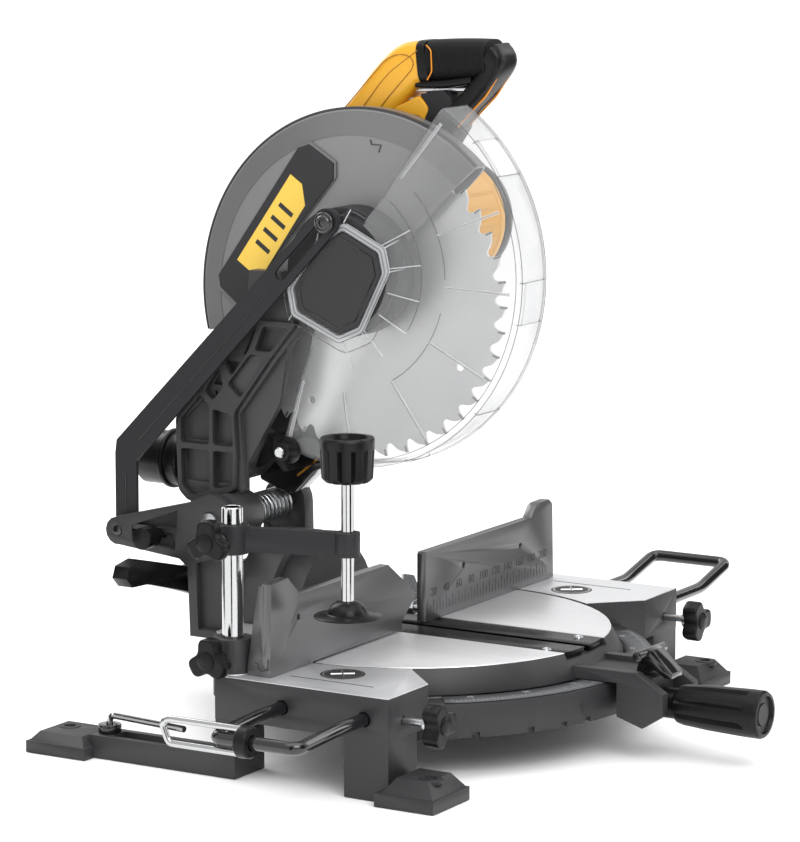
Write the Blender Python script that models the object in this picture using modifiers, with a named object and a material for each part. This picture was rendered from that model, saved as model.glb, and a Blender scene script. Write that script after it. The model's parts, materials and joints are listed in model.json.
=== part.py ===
"""Compound miter saw with a 255 mm blade, built piece by piece.

Lengths are millimetres in this script and the helpers turn them into metres.
+X is the operator's right, +Y points away from the operator, +Z is up. The origin lies on the
turntable's axis at bench level. The head stands raised, at 0 degrees of mitre and of bevel.
"""
from math import atan2, cos, degrees, pi, radians, sin, tan

import bmesh
import bpy
from mathutils import Matrix, Vector

MM = 0.001
GAP = 0.3                      # clearance between neighbouring pieces

# table and base
TABLE_TOP = 77.75
TABLE_RADIUS = 157.0
DRUM_RADIUS = 167.0            # foot of the turntable's flared rim
DRUM_BOTTOM = 58.6
RING_TOP = 57.0
RING_BOTTOM = 31.0
RING_RADIUS = 191.0
WEB_TOP = 40.0
WING_X = 232.0
WING_FRONT = -117.0
WING_REAR = 34.0
WING_INNER = 176.0
ARCH_TOP = 45.0
ARCH_FRONT = -79.0
ARCH_REAR = 17.0
WALL = 6.0
FOOT_X = 244.0
FOOT_INNER = 191.0
INSERT_HALF = 32.0
TABLE_REAR = 118.0             # the round table is cut off here to clear the bevel arm
DETENTS = (0.0, 15.0, 22.5, 31.6, 45.0)

# fence
FENCE_FACE = -7.4
FENCE_THICK = 8.0
FENCE_TOP = 134.5
FENCE_END = 219.0

# extension bars
BAR_RADIUS = 5.0
BAR_Z = 60.0
BAR_FRONT = -96.0
BAR_REAR = -25.0
KNOB_X = 210.0
KNOB_Z = 57.5

# hold-down clamp
POST_X, POST_Y = -213.0, 30.0
POST_RADIUS = 8.0
POST_BOTTOM, POST_TOP = 80.4, 203.0
SCREW_X, SCREW_Y = -189.0, -56.0
CLAMP_LOW, CLAMP_HIGH = 170.0, 188.0

# mitre arm
ARM_HALF = 30.0
ARM_TOP = 68.0
LOCK_Z = 41.5
LOCK_START, LOCK_END = -236.0, -309.0
LOCK_RADIUS = 18.5

# axes of the moving head
HEAD_Y, HEAD_Z = 146.0, 157.0
ARBOR_Y, ARBOR_Z = 43.5, 336.4
GUARD_Y, GUARD_Z = 41.0, 359.5
MOTOR_Y, MOTOR_Z = 50.0, 385.0
LINK_Y, LINK_Z = 236.0, 141.0
LINK_TOP_Y, LINK_TOP_Z = 45.0, 400.0

BLADE_RADIUS = 127.5
BLADE_HALF = 1.3
TEETH = 40
UPPER_RADIUS = 149.6
LOWER_RADIUS = 155.0
GUARD_START, GUARD_END = 123.0, 293.0    # sector of the lower guard, degrees from +Y towards +Z

# head
EAR_OUTER, EAR_INNER = -70.0, -58.5
EAR_RIGHT_INNER, EAR_RIGHT_OUTER = 38.5, 52.0
RIB_X = -38.0                  # outer faces of the head arm's ribs
HANDLE_X = 34.0                # mid plane of the handle
HANDLE_HALF = 18.5
MOTOR_RADIUS = 50.0

CAST = (0.055, 0.055, 0.06)
BLACK = (0.02, 0.02, 0.022)
GREY = (0.28, 0.28, 0.29)
YELLOW = (0.76, 0.41, 0.02)
STEEL = (0.6, 0.6, 0.62)
CHROME = (0.8, 0.8, 0.82)
ALUMINIUM = (0.72, 0.72, 0.74)
COPPER = (0.6, 0.27, 0.12)
CLEAR = (0.85, 0.87, 0.88)


# ---------------------------------------------------------------- helpers

def clear_scene():
    for obj in list(bpy.data.objects):
        bpy.data.objects.remove(obj, do_unlink=True)


def new_collection(name):
    collection = bpy.data.collections.new(name)
    bpy.context.scene.collection.children.link(collection)
    return collection


def paint(obj, colour, roughness=0.5, metallic=0.0):
    material = bpy.data.materials.new(obj.name)
    material.use_nodes = True
    shader = material.node_tree.nodes["Principled BSDF"]
    shader.inputs["Base Color"].default_value = (*colour, 1.0)
    shader.inputs["Roughness"].default_value = roughness
    shader.inputs["Metallic"].default_value = metallic
    obj.data.materials.clear()
    obj.data.materials.append(material)
    return obj


def link(name, data):
    obj = bpy.data.objects.new(name, data)
    PARTS.objects.link(obj)
    return obj


def settle(obj):
    """Give the object its evaluated shape as a plain welded mesh with faces pointing out."""
    bpy.context.view_layer.update()
    evaluated = obj.evaluated_get(bpy.context.evaluated_depsgraph_get())
    mesh = bpy.data.meshes.new_from_object(evaluated)
    shape = bmesh.new()
    shape.from_mesh(mesh)
    bmesh.ops.remove_doubles(shape, verts=shape.verts, dist=1e-6)
    bmesh.ops.recalc_face_normals(shape, faces=shape.faces)
    shape.to_mesh(mesh)
    shape.free()
    name, place = obj.name, obj.matrix_world.copy()
    bpy.data.objects.remove(obj, do_unlink=True)
    result = link(name, mesh)
    mesh.transform(place)
    return result


def solid(name, shape):
    mesh = bpy.data.meshes.new(name)
    bmesh.ops.recalc_face_normals(shape, faces=shape.faces)
    shape.to_mesh(mesh)
    shape.free()
    return link(name, mesh)


def box(name, low, high):
    low, high = Vector(low) * MM, Vector(high) * MM
    shape = bmesh.new()
    bmesh.ops.create_cube(shape, size=1.0)
    size = high - low
    bmesh.ops.transform(shape, verts=shape.verts,
                        matrix=Matrix.Translation((low + high) / 2) @ Matrix.Diagonal((*size, 1.0)))
    return solid(name, shape)


def tapered(name, low, high, inset):
    """A box whose top is smaller than its base by inset on every side."""
    obj = box(name, low, high)
    middle = (Vector(low) + Vector(high)) * MM / 2
    for vertex in obj.data.vertices:
        if vertex.co.z > middle.z:
            for axis in (0, 1):
                vertex.co[axis] -= inset * MM if vertex.co[axis] > middle[axis] else -inset * MM
    return obj


def turn_matrix(axis):
    """Turn the local Z axis onto the named world axis."""
    if axis == "X":
        return Matrix.Rotation(pi / 2, 4, "Y")
    if axis == "Y":
        return Matrix.Rotation(-pi / 2, 4, "X")
    return Matrix.Identity(4)


def rod(name, start, end, radius, sides=24, end_radius=None):
    """A round bar or cone between two points."""
    start, end = Vector(start) * MM, Vector(end) * MM
    shape = bmesh.new()
    bmesh.ops.create_cone(shape, cap_ends=True, segments=sides, radius1=radius * MM,
                          radius2=(radius if end_radius is None else end_radius) * MM,
                          depth=(end - start).length)
    direction = (end - start).normalized().to_track_quat("Z", "Y").to_matrix().to_4x4()
    bmesh.ops.transform(shape, verts=shape.verts,
                        matrix=Matrix.Translation((start + end) / 2) @ direction)
    return solid(name, shape)


def turned(name, profile, centre, axis, steps=48, closed=True):
    """Turn a profile of (radius, height) points about an axis through the centre."""
    mesh = bpy.data.meshes.new(name)
    shape = bmesh.new()
    points = [shape.verts.new((radius * MM, 0, height * MM)) for radius, height in profile]
    for first, second in zip(points, points[1:] + points[:1] if closed else points[1:]):
        shape.edges.new((first, second))
    shape.to_mesh(mesh)
    shape.free()
    obj = link(name, mesh)
    screw = obj.modifiers.new("turn", "SCREW")
    screw.steps = screw.render_steps = steps
    screw.use_merge_vertices = True
    screw.merge_threshold = 1e-5
    obj.matrix_world = Matrix.Translation(Vector(centre) * MM) @ turn_matrix(axis)
    return settle(obj)


PLANES = {
    "YZ": Matrix(((0, 0, 1, 0), (1, 0, 0, 0), (0, 1, 0, 0), (0, 0, 0, 1))),
    "XZ": Matrix(((1, 0, 0, 0), (0, 0, -1, 0), (0, 1, 0, 0), (0, 0, 0, 1))),
    "XY": Matrix.Identity(4),
}


def prism(name, outlines, plane, start, end):
    """Extrude flat outlines, the first the outside and the rest holes, between two levels."""
    curve = bpy.data.curves.new(name, "CURVE")
    curve.dimensions = "2D"
    curve.fill_mode = "BOTH"
    curve.extrude = abs(end - start) / 2 * MM
    for outline in outlines:
        spline = curve.splines.new("POLY")
        spline.points.add(len(outline) - 1)
        for point, (u, v) in zip(spline.points, outline):
            point.co = (u * MM, v * MM, 0, 1)
        spline.use_cyclic_u = True
    obj = link(name, curve)
    middle = (start + end) / 2 * MM
    lift = Matrix.Translation((0, 0, -middle if plane == "XZ" else middle))
    obj.matrix_world = PLANES[plane] @ lift
    return settle(obj)


def tube(name, points, radius, resolution=2):
    """A bent rod along points, with its ends closed."""
    curve = bpy.data.curves.new(name, "CURVE")
    curve.dimensions = "3D"
    curve.bevel_depth = radius * MM
    curve.bevel_resolution = resolution
    curve.use_fill_caps = True
    spline = curve.splines.new("POLY")
    spline.points.add(len(points) - 1)
    for point, place in zip(spline.points, points):
        point.co = (*(Vector(place) * MM), 1)
    return settle(link(name, curve))


def arc(centre, radius, start, end, count):
    """Points on an arc, in degrees."""
    return [(centre[0] + radius * cos(radians(start + (end - start) * i / (count - 1))),
             centre[1] + radius * sin(radians(start + (end - start) * i / (count - 1))))
            for i in range(count)]


def ring(centre, radius, count=24):
    return arc(centre, radius, 0, 360 * (count - 1) / count, count)


def bent(points, radius, steps=4):
    """Round the corners of a path."""
    points = [Vector(point) for point in points]
    path = [points[0]]
    for before, corner, after in zip(points, points[1:], points[2:]):
        inward = (before - corner).normalized()
        outward = (after - corner).normalized()
        for i in range(steps + 1):
            t = i / steps
            path.append(corner + inward * radius * (1 - t) ** 2 + outward * radius * t ** 2)
    path.append(points[-1])
    return path


def combine(obj, others, operation):
    for other in others:
        modifier = obj.modifiers.new(operation.lower(), "BOOLEAN")
        modifier.operation = operation
        modifier.solver = "EXACT"
        modifier.object = other
    result = settle(obj)
    for other in others:
        bpy.data.objects.remove(other, do_unlink=True)
    return result


def cut(obj, *others):
    return combine(obj, others, "DIFFERENCE")


def join(obj, *others):
    return combine(obj, others, "UNION")


def keep(obj, *others):
    return combine(obj, others, "INTERSECT")


def sector(centre, hub, reach, start, end):
    """Outline of a round hub with a sector that reaches out from it."""
    steps = 12
    outside = arc(centre, reach, start, end, steps)
    inside = arc(centre, hub, end, start + 360, steps)
    return outside + inside


def lobed(name, centre, axis, radius, thickness, lobes=3):
    """A hand knob with rounded lobes, lying flat on the plane across its axis."""
    waist = radius * 0.56
    points = []
    for i in range(lobes):
        middle = 360 / lobes * i + 90
        for offset, size in ((-26, radius * 0.92), (-14, radius), (14, radius), (26, radius * 0.92),
                             (46, waist), (74, waist)):
            angle = radians(middle + offset)
            points.append((size * cos(angle), size * sin(angle)))
    knob = prism(name, [points], "XY", -thickness / 2, thickness / 2)
    knob.data.transform(Matrix.Translation(Vector(centre) * MM) @ turn_matrix(axis))
    return knob


# ---------------------------------------------------------------- base

def pod_outline():
    return [(WING_X, WING_FRONT), (WING_X, WING_REAR), (100, WING_REAR), (100, -58), (142, -84),
            (175, WING_FRONT)]


def front_foot(name, side):
    foot = box(name, (side * (FOOT_INNER + 0.6), -162, 0), (side * FOOT_X, -112, 10))
    top = tapered("foot_top", (side * (FOOT_INNER + 1.6), -161, 9), (side * (FOOT_X - 1), -116.4, 21), 9)
    return join(foot, top)


def rear_foot(name, side):
    foot = box(name, (side * FOOT_INNER, 146, 0), (side * FOOT_X, 201, 9))
    top = tapered("rear_foot_top", (side * (FOOT_INNER + 1), 147, 8), (side * (FOOT_X - 1), 200, 16), 7)
    return join(foot, top)


def base_side(side):
    """One wing of the base with its front and rear legs."""
    name = "base_side"
    outline = [(side * x, y) for x, y in pod_outline()]
    wing = prism(name, [outline], "XY", ARCH_TOP, TABLE_TOP)
    inner, outer = side * FOOT_INNER, side * (WING_X - 0.2)
    legs = [box("front_leg", (inner, WING_FRONT + 0.2, 0), (outer, ARCH_FRONT, 60)),
            box("rear_leg_post", (inner, ARCH_REAR, 0), (outer, WING_REAR - 0.2, 60)),
            box("rear_leg", (side * 204, WING_REAR - 1, 0), (outer - side * 0.2, 150, 17.5))]
    wing = join(wing, *legs, front_foot("front_foot", side), rear_foot("rear_foot", side))
    hollow = prism("hollow", [[(side * x, y) for x, y in
                               ((WING_X - WALL, WING_FRONT + WALL), (WING_X - WALL, WING_REAR - WALL),
                                (WING_INNER, WING_REAR - WALL), (WING_INNER, WING_FRONT + WALL))]],
                   "XY", ARCH_TOP - 6, TABLE_TOP - 7)
    low_hollow = box("low_hollow", (side * (FOOT_INNER + WALL), WING_FRONT + WALL, -1),
                     (side * (WING_X - WALL), ARCH_FRONT - WALL, ARCH_TOP + 2))
    rear_hollow = box("rear_hollow", (side * 210, WING_REAR + 4, 6), (side * (WING_X - WALL), 132, 20))
    holes = [rod("foot_hole", (side * 224, -148, -1), (side * 224, -148, 30), 4.5, 16),
             rod("foot_hole", (side * 212, 182, -1), (side * 212, 182, 30), 4.5, 16)]
    for y in (BAR_FRONT, BAR_REAR):
        holes.append(rod("bar_hole", (side * 180, y, BAR_Z), (side * 240, y, BAR_Z), BAR_RADIUS + 0.8, 16))
    holes.append(rod("stud_hole", (side * KNOB_X, -120, KNOB_Z), (side * KNOB_X, -108, KNOB_Z), 3.6, 12))
    return cut(wing, hollow, low_hollow, rear_hollow, *holes)


def scale_ring():
    """The toothed rim across the front of the base that the mitre detents bite into."""
    profile = [(RING_RADIUS, RING_TOP), (RING_RADIUS, RING_BOTTOM), (RING_RADIUS - 5, RING_BOTTOM),
               (RING_RADIUS - 5, RING_TOP - 5), (174, RING_TOP - 5), (174, RING_BOTTOM),
               (168.6, RING_BOTTOM), (168.6, RING_TOP)]
    rim = turned("scale_rim", profile, (0, 0, 0), "Z", 60)
    wedge = prism("front_wedge", [sector((0, 0), 4, 240, 208, 332)], "XY", 20, 80)
    rim = keep(rim, wedge)
    notches = []
    for detent in DETENTS:
        for side in ((1,) if detent == 0 else (-1, 1)):
            notch = box("notch", (-3, -195, 28), (3, -183, 35))
            notch.data.transform(Matrix.Rotation(side * radians(detent), 4, "Z"))
            notches.append(notch)
    return cut(rim, *notches)


def base_casting():
    sides = [base_side(-1), base_side(1)]
    front = rod("base_casting", (0, 0, RING_BOTTOM + 1), (0, 0, WEB_TOP), 188.5, 60)
    front = cut(front, box("rear_cut", (-200, 8, 0), (200, 200, 80)))
    hub = rod("hub", (0, 0, RING_BOTTOM + 0.6), (0, 0, WEB_TOP + 0.2), 91, 48)
    web = join(front, hub)
    web = join(web, *sides, scale_ring())
    clearance = turned("table_clearance",
                       [(0, WEB_TOP + 0.8), (168.4, WEB_TOP + 0.8), (168.4, 56), (170.5, 57.4),
                        (160.4, TABLE_TOP + 0.4), (160.4, 90), (0, 90)], (0, 0, 0), "Z", 60, closed=False)
    web = join(web, rod("post_socket", (POST_X, POST_Y, 60), (POST_X, POST_Y, 104), 15, 32))
    bores = [rod("pivot_bore", (0, 0, 20), (0, 0, 50), 6.6, 24),
             rod("socket_bore", (POST_X, POST_Y, 80.1), (POST_X, POST_Y, 110), POST_RADIUS + 0.45, 24),
             rod("stud_bore", (-235, POST_Y, 92), (POST_X, POST_Y, 92), 3.5, 12)]
    lighten = [rod("web_hole", (85 * cos(a), 85 * sin(a), 20), (85 * cos(a), 85 * sin(a), 50), 26, 20)
               for a in (radians(225), radians(315))]
    return paint(cut(web, clearance, *bores, *lighten), CAST, 0.6)


def mitre_scale_plate():
    outline = arc((0, 0), 189, 218, 322, 28) + arc((0, 0), 169.5, 322, 218, 28)
    return paint(prism("mitre_scale_plate", [outline], "XY", RING_TOP + 0.3, RING_TOP + 1.1), GREY, 0.5)


def fence_left():
    outline = [(-FENCE_END, 78.05), (-218, 148), (-195, 149.5), (-178, FENCE_TOP), (-50, FENCE_TOP),
               (-6, 104), (-29, 86), (-29, 79), (-160, 79), (-160, 78.05)]
    fence = prism("fence_left", [outline, ring((-180, 117), 2.6, 10)], "XZ",
                  FENCE_FACE, FENCE_FACE + FENCE_THICK)
    end = prism("end_gusset", [[(-1, 78.2), (-1, 147), (4, 145.5), (13.5, 84), (13.5, 78.2)]], "YZ",
                -FENCE_END + 0.3, -213)
    foot = box("fence_foot", (-FENCE_END + 0.6, -1, 78.35), (-162, 13, 83))
    return paint(join(fence, end, foot), GREY, 0.4, 0.6)


def fence_right():
    outline = [(7.5, 78.05), (7.5, 133), (9, FENCE_TOP), (180, FENCE_TOP), (187, 143), (193, 145),
               (211, 145.5), (217, 141), (FENCE_END, 84), (FENCE_END, 78.05)]
    fence = prism("fence_right", [outline], "XZ", FENCE_FACE, FENCE_FACE + FENCE_THICK)
    holes = [rod("hole", (x, -20, 114), (x, 10, 114), 2.6, 12) for x in (68, 162)]
    foot = box("fence_foot", (162, -1, 78.2), (FENCE_END - 0.4, 28, 84))
    gusset = prism("end_gusset", [[(-3, 79.4), (-3, 137), (3, 137), (16, 83), (16, 79.4)]], "YZ", 206, 216.8)
    return paint(cut(join(fence, foot, gusset), *holes), GREY, 0.4, 0.6)


def pivot_bolt():
    bolt = rod("turntable_pivot_bolt", (0, 0, 22), (0, 0, 60), 6.2, 24)
    head = rod("bolt_head", (0, 0, 20), (0, 0, RING_BOTTOM - 0.4), 10, 6)
    return paint(join(bolt, head), STEEL, 0.35, 1.0)


def leg_screw():
    boss = rod("leg_screw", (-217, 141, 17.9), (-217, 141, 24), 9, 24)
    socket = rod("key_socket", (-217, 141, 19.5), (-217, 141, 30), 3.4, 6)
    return paint(cut(boss, socket), BLACK, 0.3, 0.6)


def hex_key():
    path = bent([(-217, 141, 20), (-217, 141, 31), (-226, 66, 31)], 6, 3)
    return paint(tube("hex_key", path, 2.5, 1), CHROME, 0.15, 1.0)


# ---------------------------------------------------------------- extension bars and knobs

def extension_bar(name, side, out, rise):
    """A U of rod that slides out of the wing, cranked upwards by rise near its end."""
    crank = out - 52
    path = [(side * 186, BAR_FRONT, BAR_Z), (side * crank, BAR_FRONT, BAR_Z),
            (side * out, BAR_FRONT, BAR_Z + rise), (side * out, BAR_REAR, BAR_Z + rise),
            (side * crank, BAR_REAR, BAR_Z), (side * 186, BAR_REAR, BAR_Z)]
    return paint(tube(name, bent(path, 9, 4), BAR_RADIUS), BLACK, 0.25, 0.3)


def work_stop():
    """The flip-up wire loop hooked on the left bar."""
    path = bent([(-322, -56, 66), (-322, 14, 66), (-322, 20, 62), (-322, 14, 48),
                 (-322, -56, 48)], 4, 3)
    loop = tube("work_stop", path, 2.6, 1)
    clip = rod("clip", (-322, -58, 57), (-322, -48, 57), 12, 20)
    bore = rod("clip_bore", (-322, -60, 57), (-322, -46, 57), BAR_RADIUS + 0.6, 16)
    return paint(cut(join(loop, clip), bore), CHROME, 0.2, 1.0)


def bar_knob(name, side):
    knob = lobed(name, (side * KNOB_X, -146, KNOB_Z), "Y", 17.5, 13)
    stud = rod("stud", (side * KNOB_X, -141, KNOB_Z), (side * KNOB_X, BAR_FRONT - 5.6, KNOB_Z), 3.0, 12)
    collar = rod("collar", (side * KNOB_X, -140, KNOB_Z), (side * KNOB_X, -132, KNOB_Z), 6.5, 16)
    return paint(join(knob, stud, collar), BLACK, 0.4)


# ---------------------------------------------------------------- hold-down clamp

def clamp_post():
    profile = [(POST_RADIUS, POST_TOP), (POST_RADIUS, POST_BOTTOM), (POST_RADIUS - 2, POST_BOTTOM),
               (POST_RADIUS - 2, POST_TOP)]
    return paint(turned("clamp_post", profile, (POST_X, POST_Y, 0), "Z", 24), CHROME, 0.1, 1.0)


def side_knob(name, x_tip, z, length):
    """A lobed knob whose stud points along +X towards the post."""
    knob = lobed(name, (x_tip + 6, POST_Y, z), "X", 17, 12)
    stud = rod("stud", (x_tip + 8, POST_Y, z), (x_tip + length, POST_Y, z), 2.9, 12)
    collar = rod("collar", (x_tip + 11, POST_Y, z), (x_tip + 17, POST_Y, z), 7, 16)
    return paint(join(knob, stud, collar), BLACK, 0.4)


def clamp_arm():
    """The flat bar with a sleeve on the post and a threaded boss for the screw."""
    run = Vector((SCREW_X - POST_X, SCREW_Y - POST_Y)).normalized()
    side = Vector((-run.y, run.x)) * 4.5
    start = Vector((POST_X, POST_Y))
    end = Vector((SCREW_X, SCREW_Y))
    outline = [tuple(start + side), tuple(start - side), tuple(end - side), tuple(end + side)]
    bar = prism("clamp_arm", [outline], "XY", CLAMP_LOW, CLAMP_HIGH)
    sleeve = rod("sleeve", (POST_X, POST_Y, CLAMP_LOW - 2), (POST_X, POST_Y, CLAMP_HIGH + 2), 12.5, 24)
    boss = rod("boss", (SCREW_X, SCREW_Y, CLAMP_LOW), (SCREW_X, SCREW_Y, CLAMP_HIGH), 9.5, 20)
    bores = [rod("bore", (POST_X, POST_Y, 160), (POST_X, POST_Y, 200), POST_RADIUS + 0.45, 24),
             rod("bore", (SCREW_X, SCREW_Y, 160), (SCREW_X, SCREW_Y, 200), 5.4, 20),
             rod("bore", (-235, POST_Y, 181), (POST_X, POST_Y, 181), 3.5, 12)]
    return paint(cut(join(bar, sleeve, boss), *bores), CAST, 0.5)


def clamp_screw():
    screw = rod("clamp_screw", (SCREW_X, SCREW_Y, 133), (SCREW_X, SCREW_Y, 232), 4.8, 20)
    return paint(screw, CHROME, 0.12, 1.0)


def clamp_knob():
    knob = rod("clamp_knob", (SCREW_X, SCREW_Y, 228), (SCREW_X, SCREW_Y, 259), 20.5, 32)
    dish = rod("dish", (SCREW_X, SCREW_Y, 255), (SCREW_X, SCREW_Y, 262), 14, 24)
    flutes = []
    for i in range(12):
        angle = radians(30 * i)
        x, y = SCREW_X + 22 * cos(angle), SCREW_Y + 22 * sin(angle)
        flutes.append(rod("flute", (x, y, 226), (x, y, 252), 3.0, 8))
    bore = rod("bore", (SCREW_X, SCREW_Y, 220), (SCREW_X, SCREW_Y, 240), 5.1, 20)
    return paint(cut(knob, dish, bore, *flutes), BLACK, 0.45)


def clamp_foot():
    profile = [(0, 124), (25.5, 124), (25.5, 125.6), (16, 127), (14.5, 130.5), (10.5, 134), (5.2, 136.5),
               (5.2, 132.6), (0, 132.6)]
    return paint(turned("clamp_foot", profile, (SCREW_X, SCREW_Y, 0), "Z", 32, closed=False), BLACK, 0.5)


# ---------------------------------------------------------------- turntable

def turntable():
    """The rotating table with its mitre arm in front and its bevel trunnion behind."""
    profile = [(0, TABLE_TOP), (TABLE_RADIUS, TABLE_TOP), (DRUM_RADIUS, DRUM_BOTTOM),
               (161, DRUM_BOTTOM), (152, 68), (30, 66), (30, WEB_TOP + 0.5), (0, WEB_TOP + 0.5)]
    table = turned("turntable", profile, (0, 0, 0), "Z", 60, closed=False)
    table = cut(table, box("rear_cut", (-200, TABLE_REAR, 30), (200, 200, 90)),
                box("arm_cut", (-68, 95, 30), (68, 130, 90)))
    walls = []
    for side in (-1, 1):
        outline = [(-148, 59), (-148, ARM_TOP), (-214, ARM_TOP), (-237, 54), (-237, 37), (-220, 26),
                   (-198, 33), (-198, 59)]
        inner, outer = sorted((side * 21, side * ARM_HALF))
        walls.append(prism("arm_wall", [outline], "YZ", inner, outer))
    floor = box("arm_floor", (-25, -207, 60), (25, -140, 64))
    block = box("arm_block", (-25.5, -221, 31), (25.5, -200, 62))
    trunnion = prism("trunnion", [arc((0, TABLE_TOP), 58, 0, 180, 20) + [(-58, 60), (58, 60)]], "XZ", 72, 95)
    rear = box("rear_block", (-57, 64, 61), (57, 94.5, TABLE_TOP + 1))
    table = join(table, *walls, floor, block, rear, trunnion)
    pocket = box("insert_pocket", (-INSERT_HALF - 0.4, -175, 72), (INSERT_HALF + 0.4, 46, 90))
    trench = box("kerf_trench", (-8, -147, 64), (8, 58, 80))
    trunnion_slot = box("blade_way", (-8, 40, 70), (8, 72, 140))
    bores = [rod("rod_bore", (0, -230, LOCK_Z), (0, -190, LOCK_Z), 5.5, 20),
             rod("pivot_bore", (0, 0, 30), (0, 0, 61), 6.7, 24),
             rod("bevel_bore", (0, 60, TABLE_TOP), (0, 110, TABLE_TOP), 8.6, 24)]
    nut_room = box("bolt_room", (-14, 58, 65), (14, 72, 92))
    return paint(cut(table, pocket, trench, trunnion_slot, nut_room, *bores), CAST, 0.55)


def kerf_insert(name, side):
    outline = [(side * 3.2, 45)]
    outline += [(side * x, -(TABLE_RADIUS - 1) * cos(atan2(x, TABLE_RADIUS))) for x in (3.2, 17, INSERT_HALF)]
    outline += [(side * INSERT_HALF, 45)]
    plate = prism(name, [outline], "XY", 72.3, 77.4)
    relief = prism("bevel_relief", [[(side * 2, 76.9), (side * 3.2, 76.9), (side * 8.4, 71), (side * 2, 71)]],
                   "XZ", -170, 50)
    return paint(cut(plate, relief), BLACK, 0.5)


def mitre_lock():
    """The fluted handle and the screw that presses on the base's rim."""
    handle = rod("mitre_lock_handle", (0, LOCK_START, LOCK_Z), (0, LOCK_END, LOCK_Z), LOCK_RADIUS, 32)
    collar = rod("collar", (0, -223, LOCK_Z), (0, -240, LOCK_Z), 12, 24)
    recess = rod("recess", (0, -304, LOCK_Z), (0, -312, LOCK_Z), 13, 24)
    flutes = []
    for i in range(8):
        angle = radians(45 * i + 22.5)
        x, z = (LOCK_RADIUS + 2.2) * cos(angle), LOCK_Z + (LOCK_RADIUS + 2.2) * sin(angle)
        flutes.append(rod("flute", (x, -232, z), (x, -296, z), 4.4, 8))
    bore = rod("bore", (0, -210, LOCK_Z), (0, -262, LOCK_Z), 5.4, 20)
    handle = paint(cut(join(handle, collar), recess, bore, *flutes), BLACK, 0.45)
    screw = rod("mitre_lock_screw", (0, -191.8, LOCK_Z), (0, -261, LOCK_Z), 5.0, 20)
    return handle, paint(screw, STEEL, 0.3, 1.0)


def detent_lever():
    """The cross-handled lever that lifts the mitre detent."""
    paddle = prism("detent_lever", [[(-207, 78), (-212, 83), (-218, 82), (-234, 66), (-234, 62),
                                     (-228, 62), (-214, 71)]], "YZ", -9, 9)
    bar = rod("cross_bar", (-22, -211, 79), (22, -211, 79), 4, 12)
    tongue = prism("tongue", [[(-207, 78), (-218, 70), (-214, 64.6), (-204, 64.6)]], "YZ", -9, 9)
    return paint(join(paddle, bar, tongue), BLACK, 0.4)


# ---------------------------------------------------------------- bevel arm

def bevel_arm():
    """The tilting casting: a round foot on the trunnion and two ears for the head pivot."""
    foot = rod("bevel_arm", (0, 95.5, TABLE_TOP), (0, 150, TABLE_TOP), 66, 48)
    web = box("web", (EAR_OUTER + 1, 122, 63), (EAR_RIGHT_OUTER - 1, 165, 112))
    fan = [(124, 62), (166, 62), (168, 118), (176, 124)]
    fan += arc((LINK_Y, LINK_Z), 11.5, -102, 84, 8)
    fan += [(168, 170)]
    fan += arc((HEAD_Y, HEAD_Z), 21, 60, 190, 10)
    left_ear = prism("left_ear", [fan], "YZ", EAR_OUTER, EAR_INNER)
    pocket = prism("fan_pocket", [[(180, 130), (222, 137), (222, 147), (177, 163)]], "YZ", EAR_OUTER - 1,
                   EAR_OUTER + 6)
    low_pocket = prism("ear_pocket", [[(132, 68), (158, 68), (160, 122), (134, 130)]], "YZ", EAR_OUTER - 1,
                       EAR_OUTER + 6)
    right = [(124, 62), (166, 62)] + arc((HEAD_Y, HEAD_Z), 20, 0, 180, 12)
    right_ear = prism("right_ear", [right], "YZ", EAR_RIGHT_INNER, EAR_RIGHT_OUTER)
    rib = box("fan_rib", (EAR_OUTER + 1, 170, 144), (EAR_OUTER + 8, 226, 148))
    arm = join(foot, web, left_ear, right_ear)
    arm = join(cut(arm, pocket, low_pocket), rib)
    bores = [rod("pivot_bore", (-80, HEAD_Y, HEAD_Z), (60, HEAD_Y, HEAD_Z), 7.4, 24),
             rod("link_bore", (-80, LINK_Y, LINK_Z), (-50, LINK_Y, LINK_Z), 4.4, 16),
             rod("bevel_bore", (0, 90, TABLE_TOP), (0, 170, TABLE_TOP), 8.6, 24),
             rod("lever_bore", (-40, 140, 100), (-40, 170, 100), 4.4, 16),
             rod("pin_bore", (-80, 196, 142), (-50, 196, 142), 4.4, 16)]
    hollow = box("arm_hollow", (EAR_INNER + 1, 128, 110), (EAR_RIGHT_INNER - 1, 160, 130))
    barrel_room = rod("barrel_room", (EAR_INNER - 0.5, HEAD_Y, HEAD_Z),
                      (EAR_RIGHT_INNER + 0.5, HEAD_Y, HEAD_Z), 25.7, 30)
    return paint(cut(arm, hollow, barrel_room, *bores), CAST, 0.6)


def bevel_pivot_bolt():
    shank = rod("bevel_pivot_bolt", (0, 68, TABLE_TOP), (0, 172, TABLE_TOP), 8.0, 24)
    head = rod("bolt_head", (0, 62, TABLE_TOP), (0, 71, TABLE_TOP), 12, 6)
    return paint(join(shank, head), STEEL, 0.3, 1.0)


def bevel_nut():
    nut = rod("bevel_pivot_nut", (0, 166.4, TABLE_TOP), (0, 176, TABLE_TOP), 15, 6)
    bore = rod("bore", (0, 160, TABLE_TOP), (0, 180, TABLE_TOP), 8.5, 24)
    return paint(cut(nut, bore), STEEL, 0.3, 1.0)


def bevel_lever():
    """The rear lever that locks the tilt, turning on a stud along Y."""
    outline = arc((-40, 100), 13, -70, 110, 8) + [(-62, 117), (-118, 131), (-136, 128)]
    outline += [(-140, 119), (-132, 111), (-110, 110), (-64, 97)]
    lever = prism("bevel_lock_lever", [outline], "XZ", 178, 192)
    stud = rod("stud", (-40, 145, 100), (-40, 185, 100), 4.0, 16)
    return paint(join(lever, stud), BLACK, 0.3)


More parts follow.
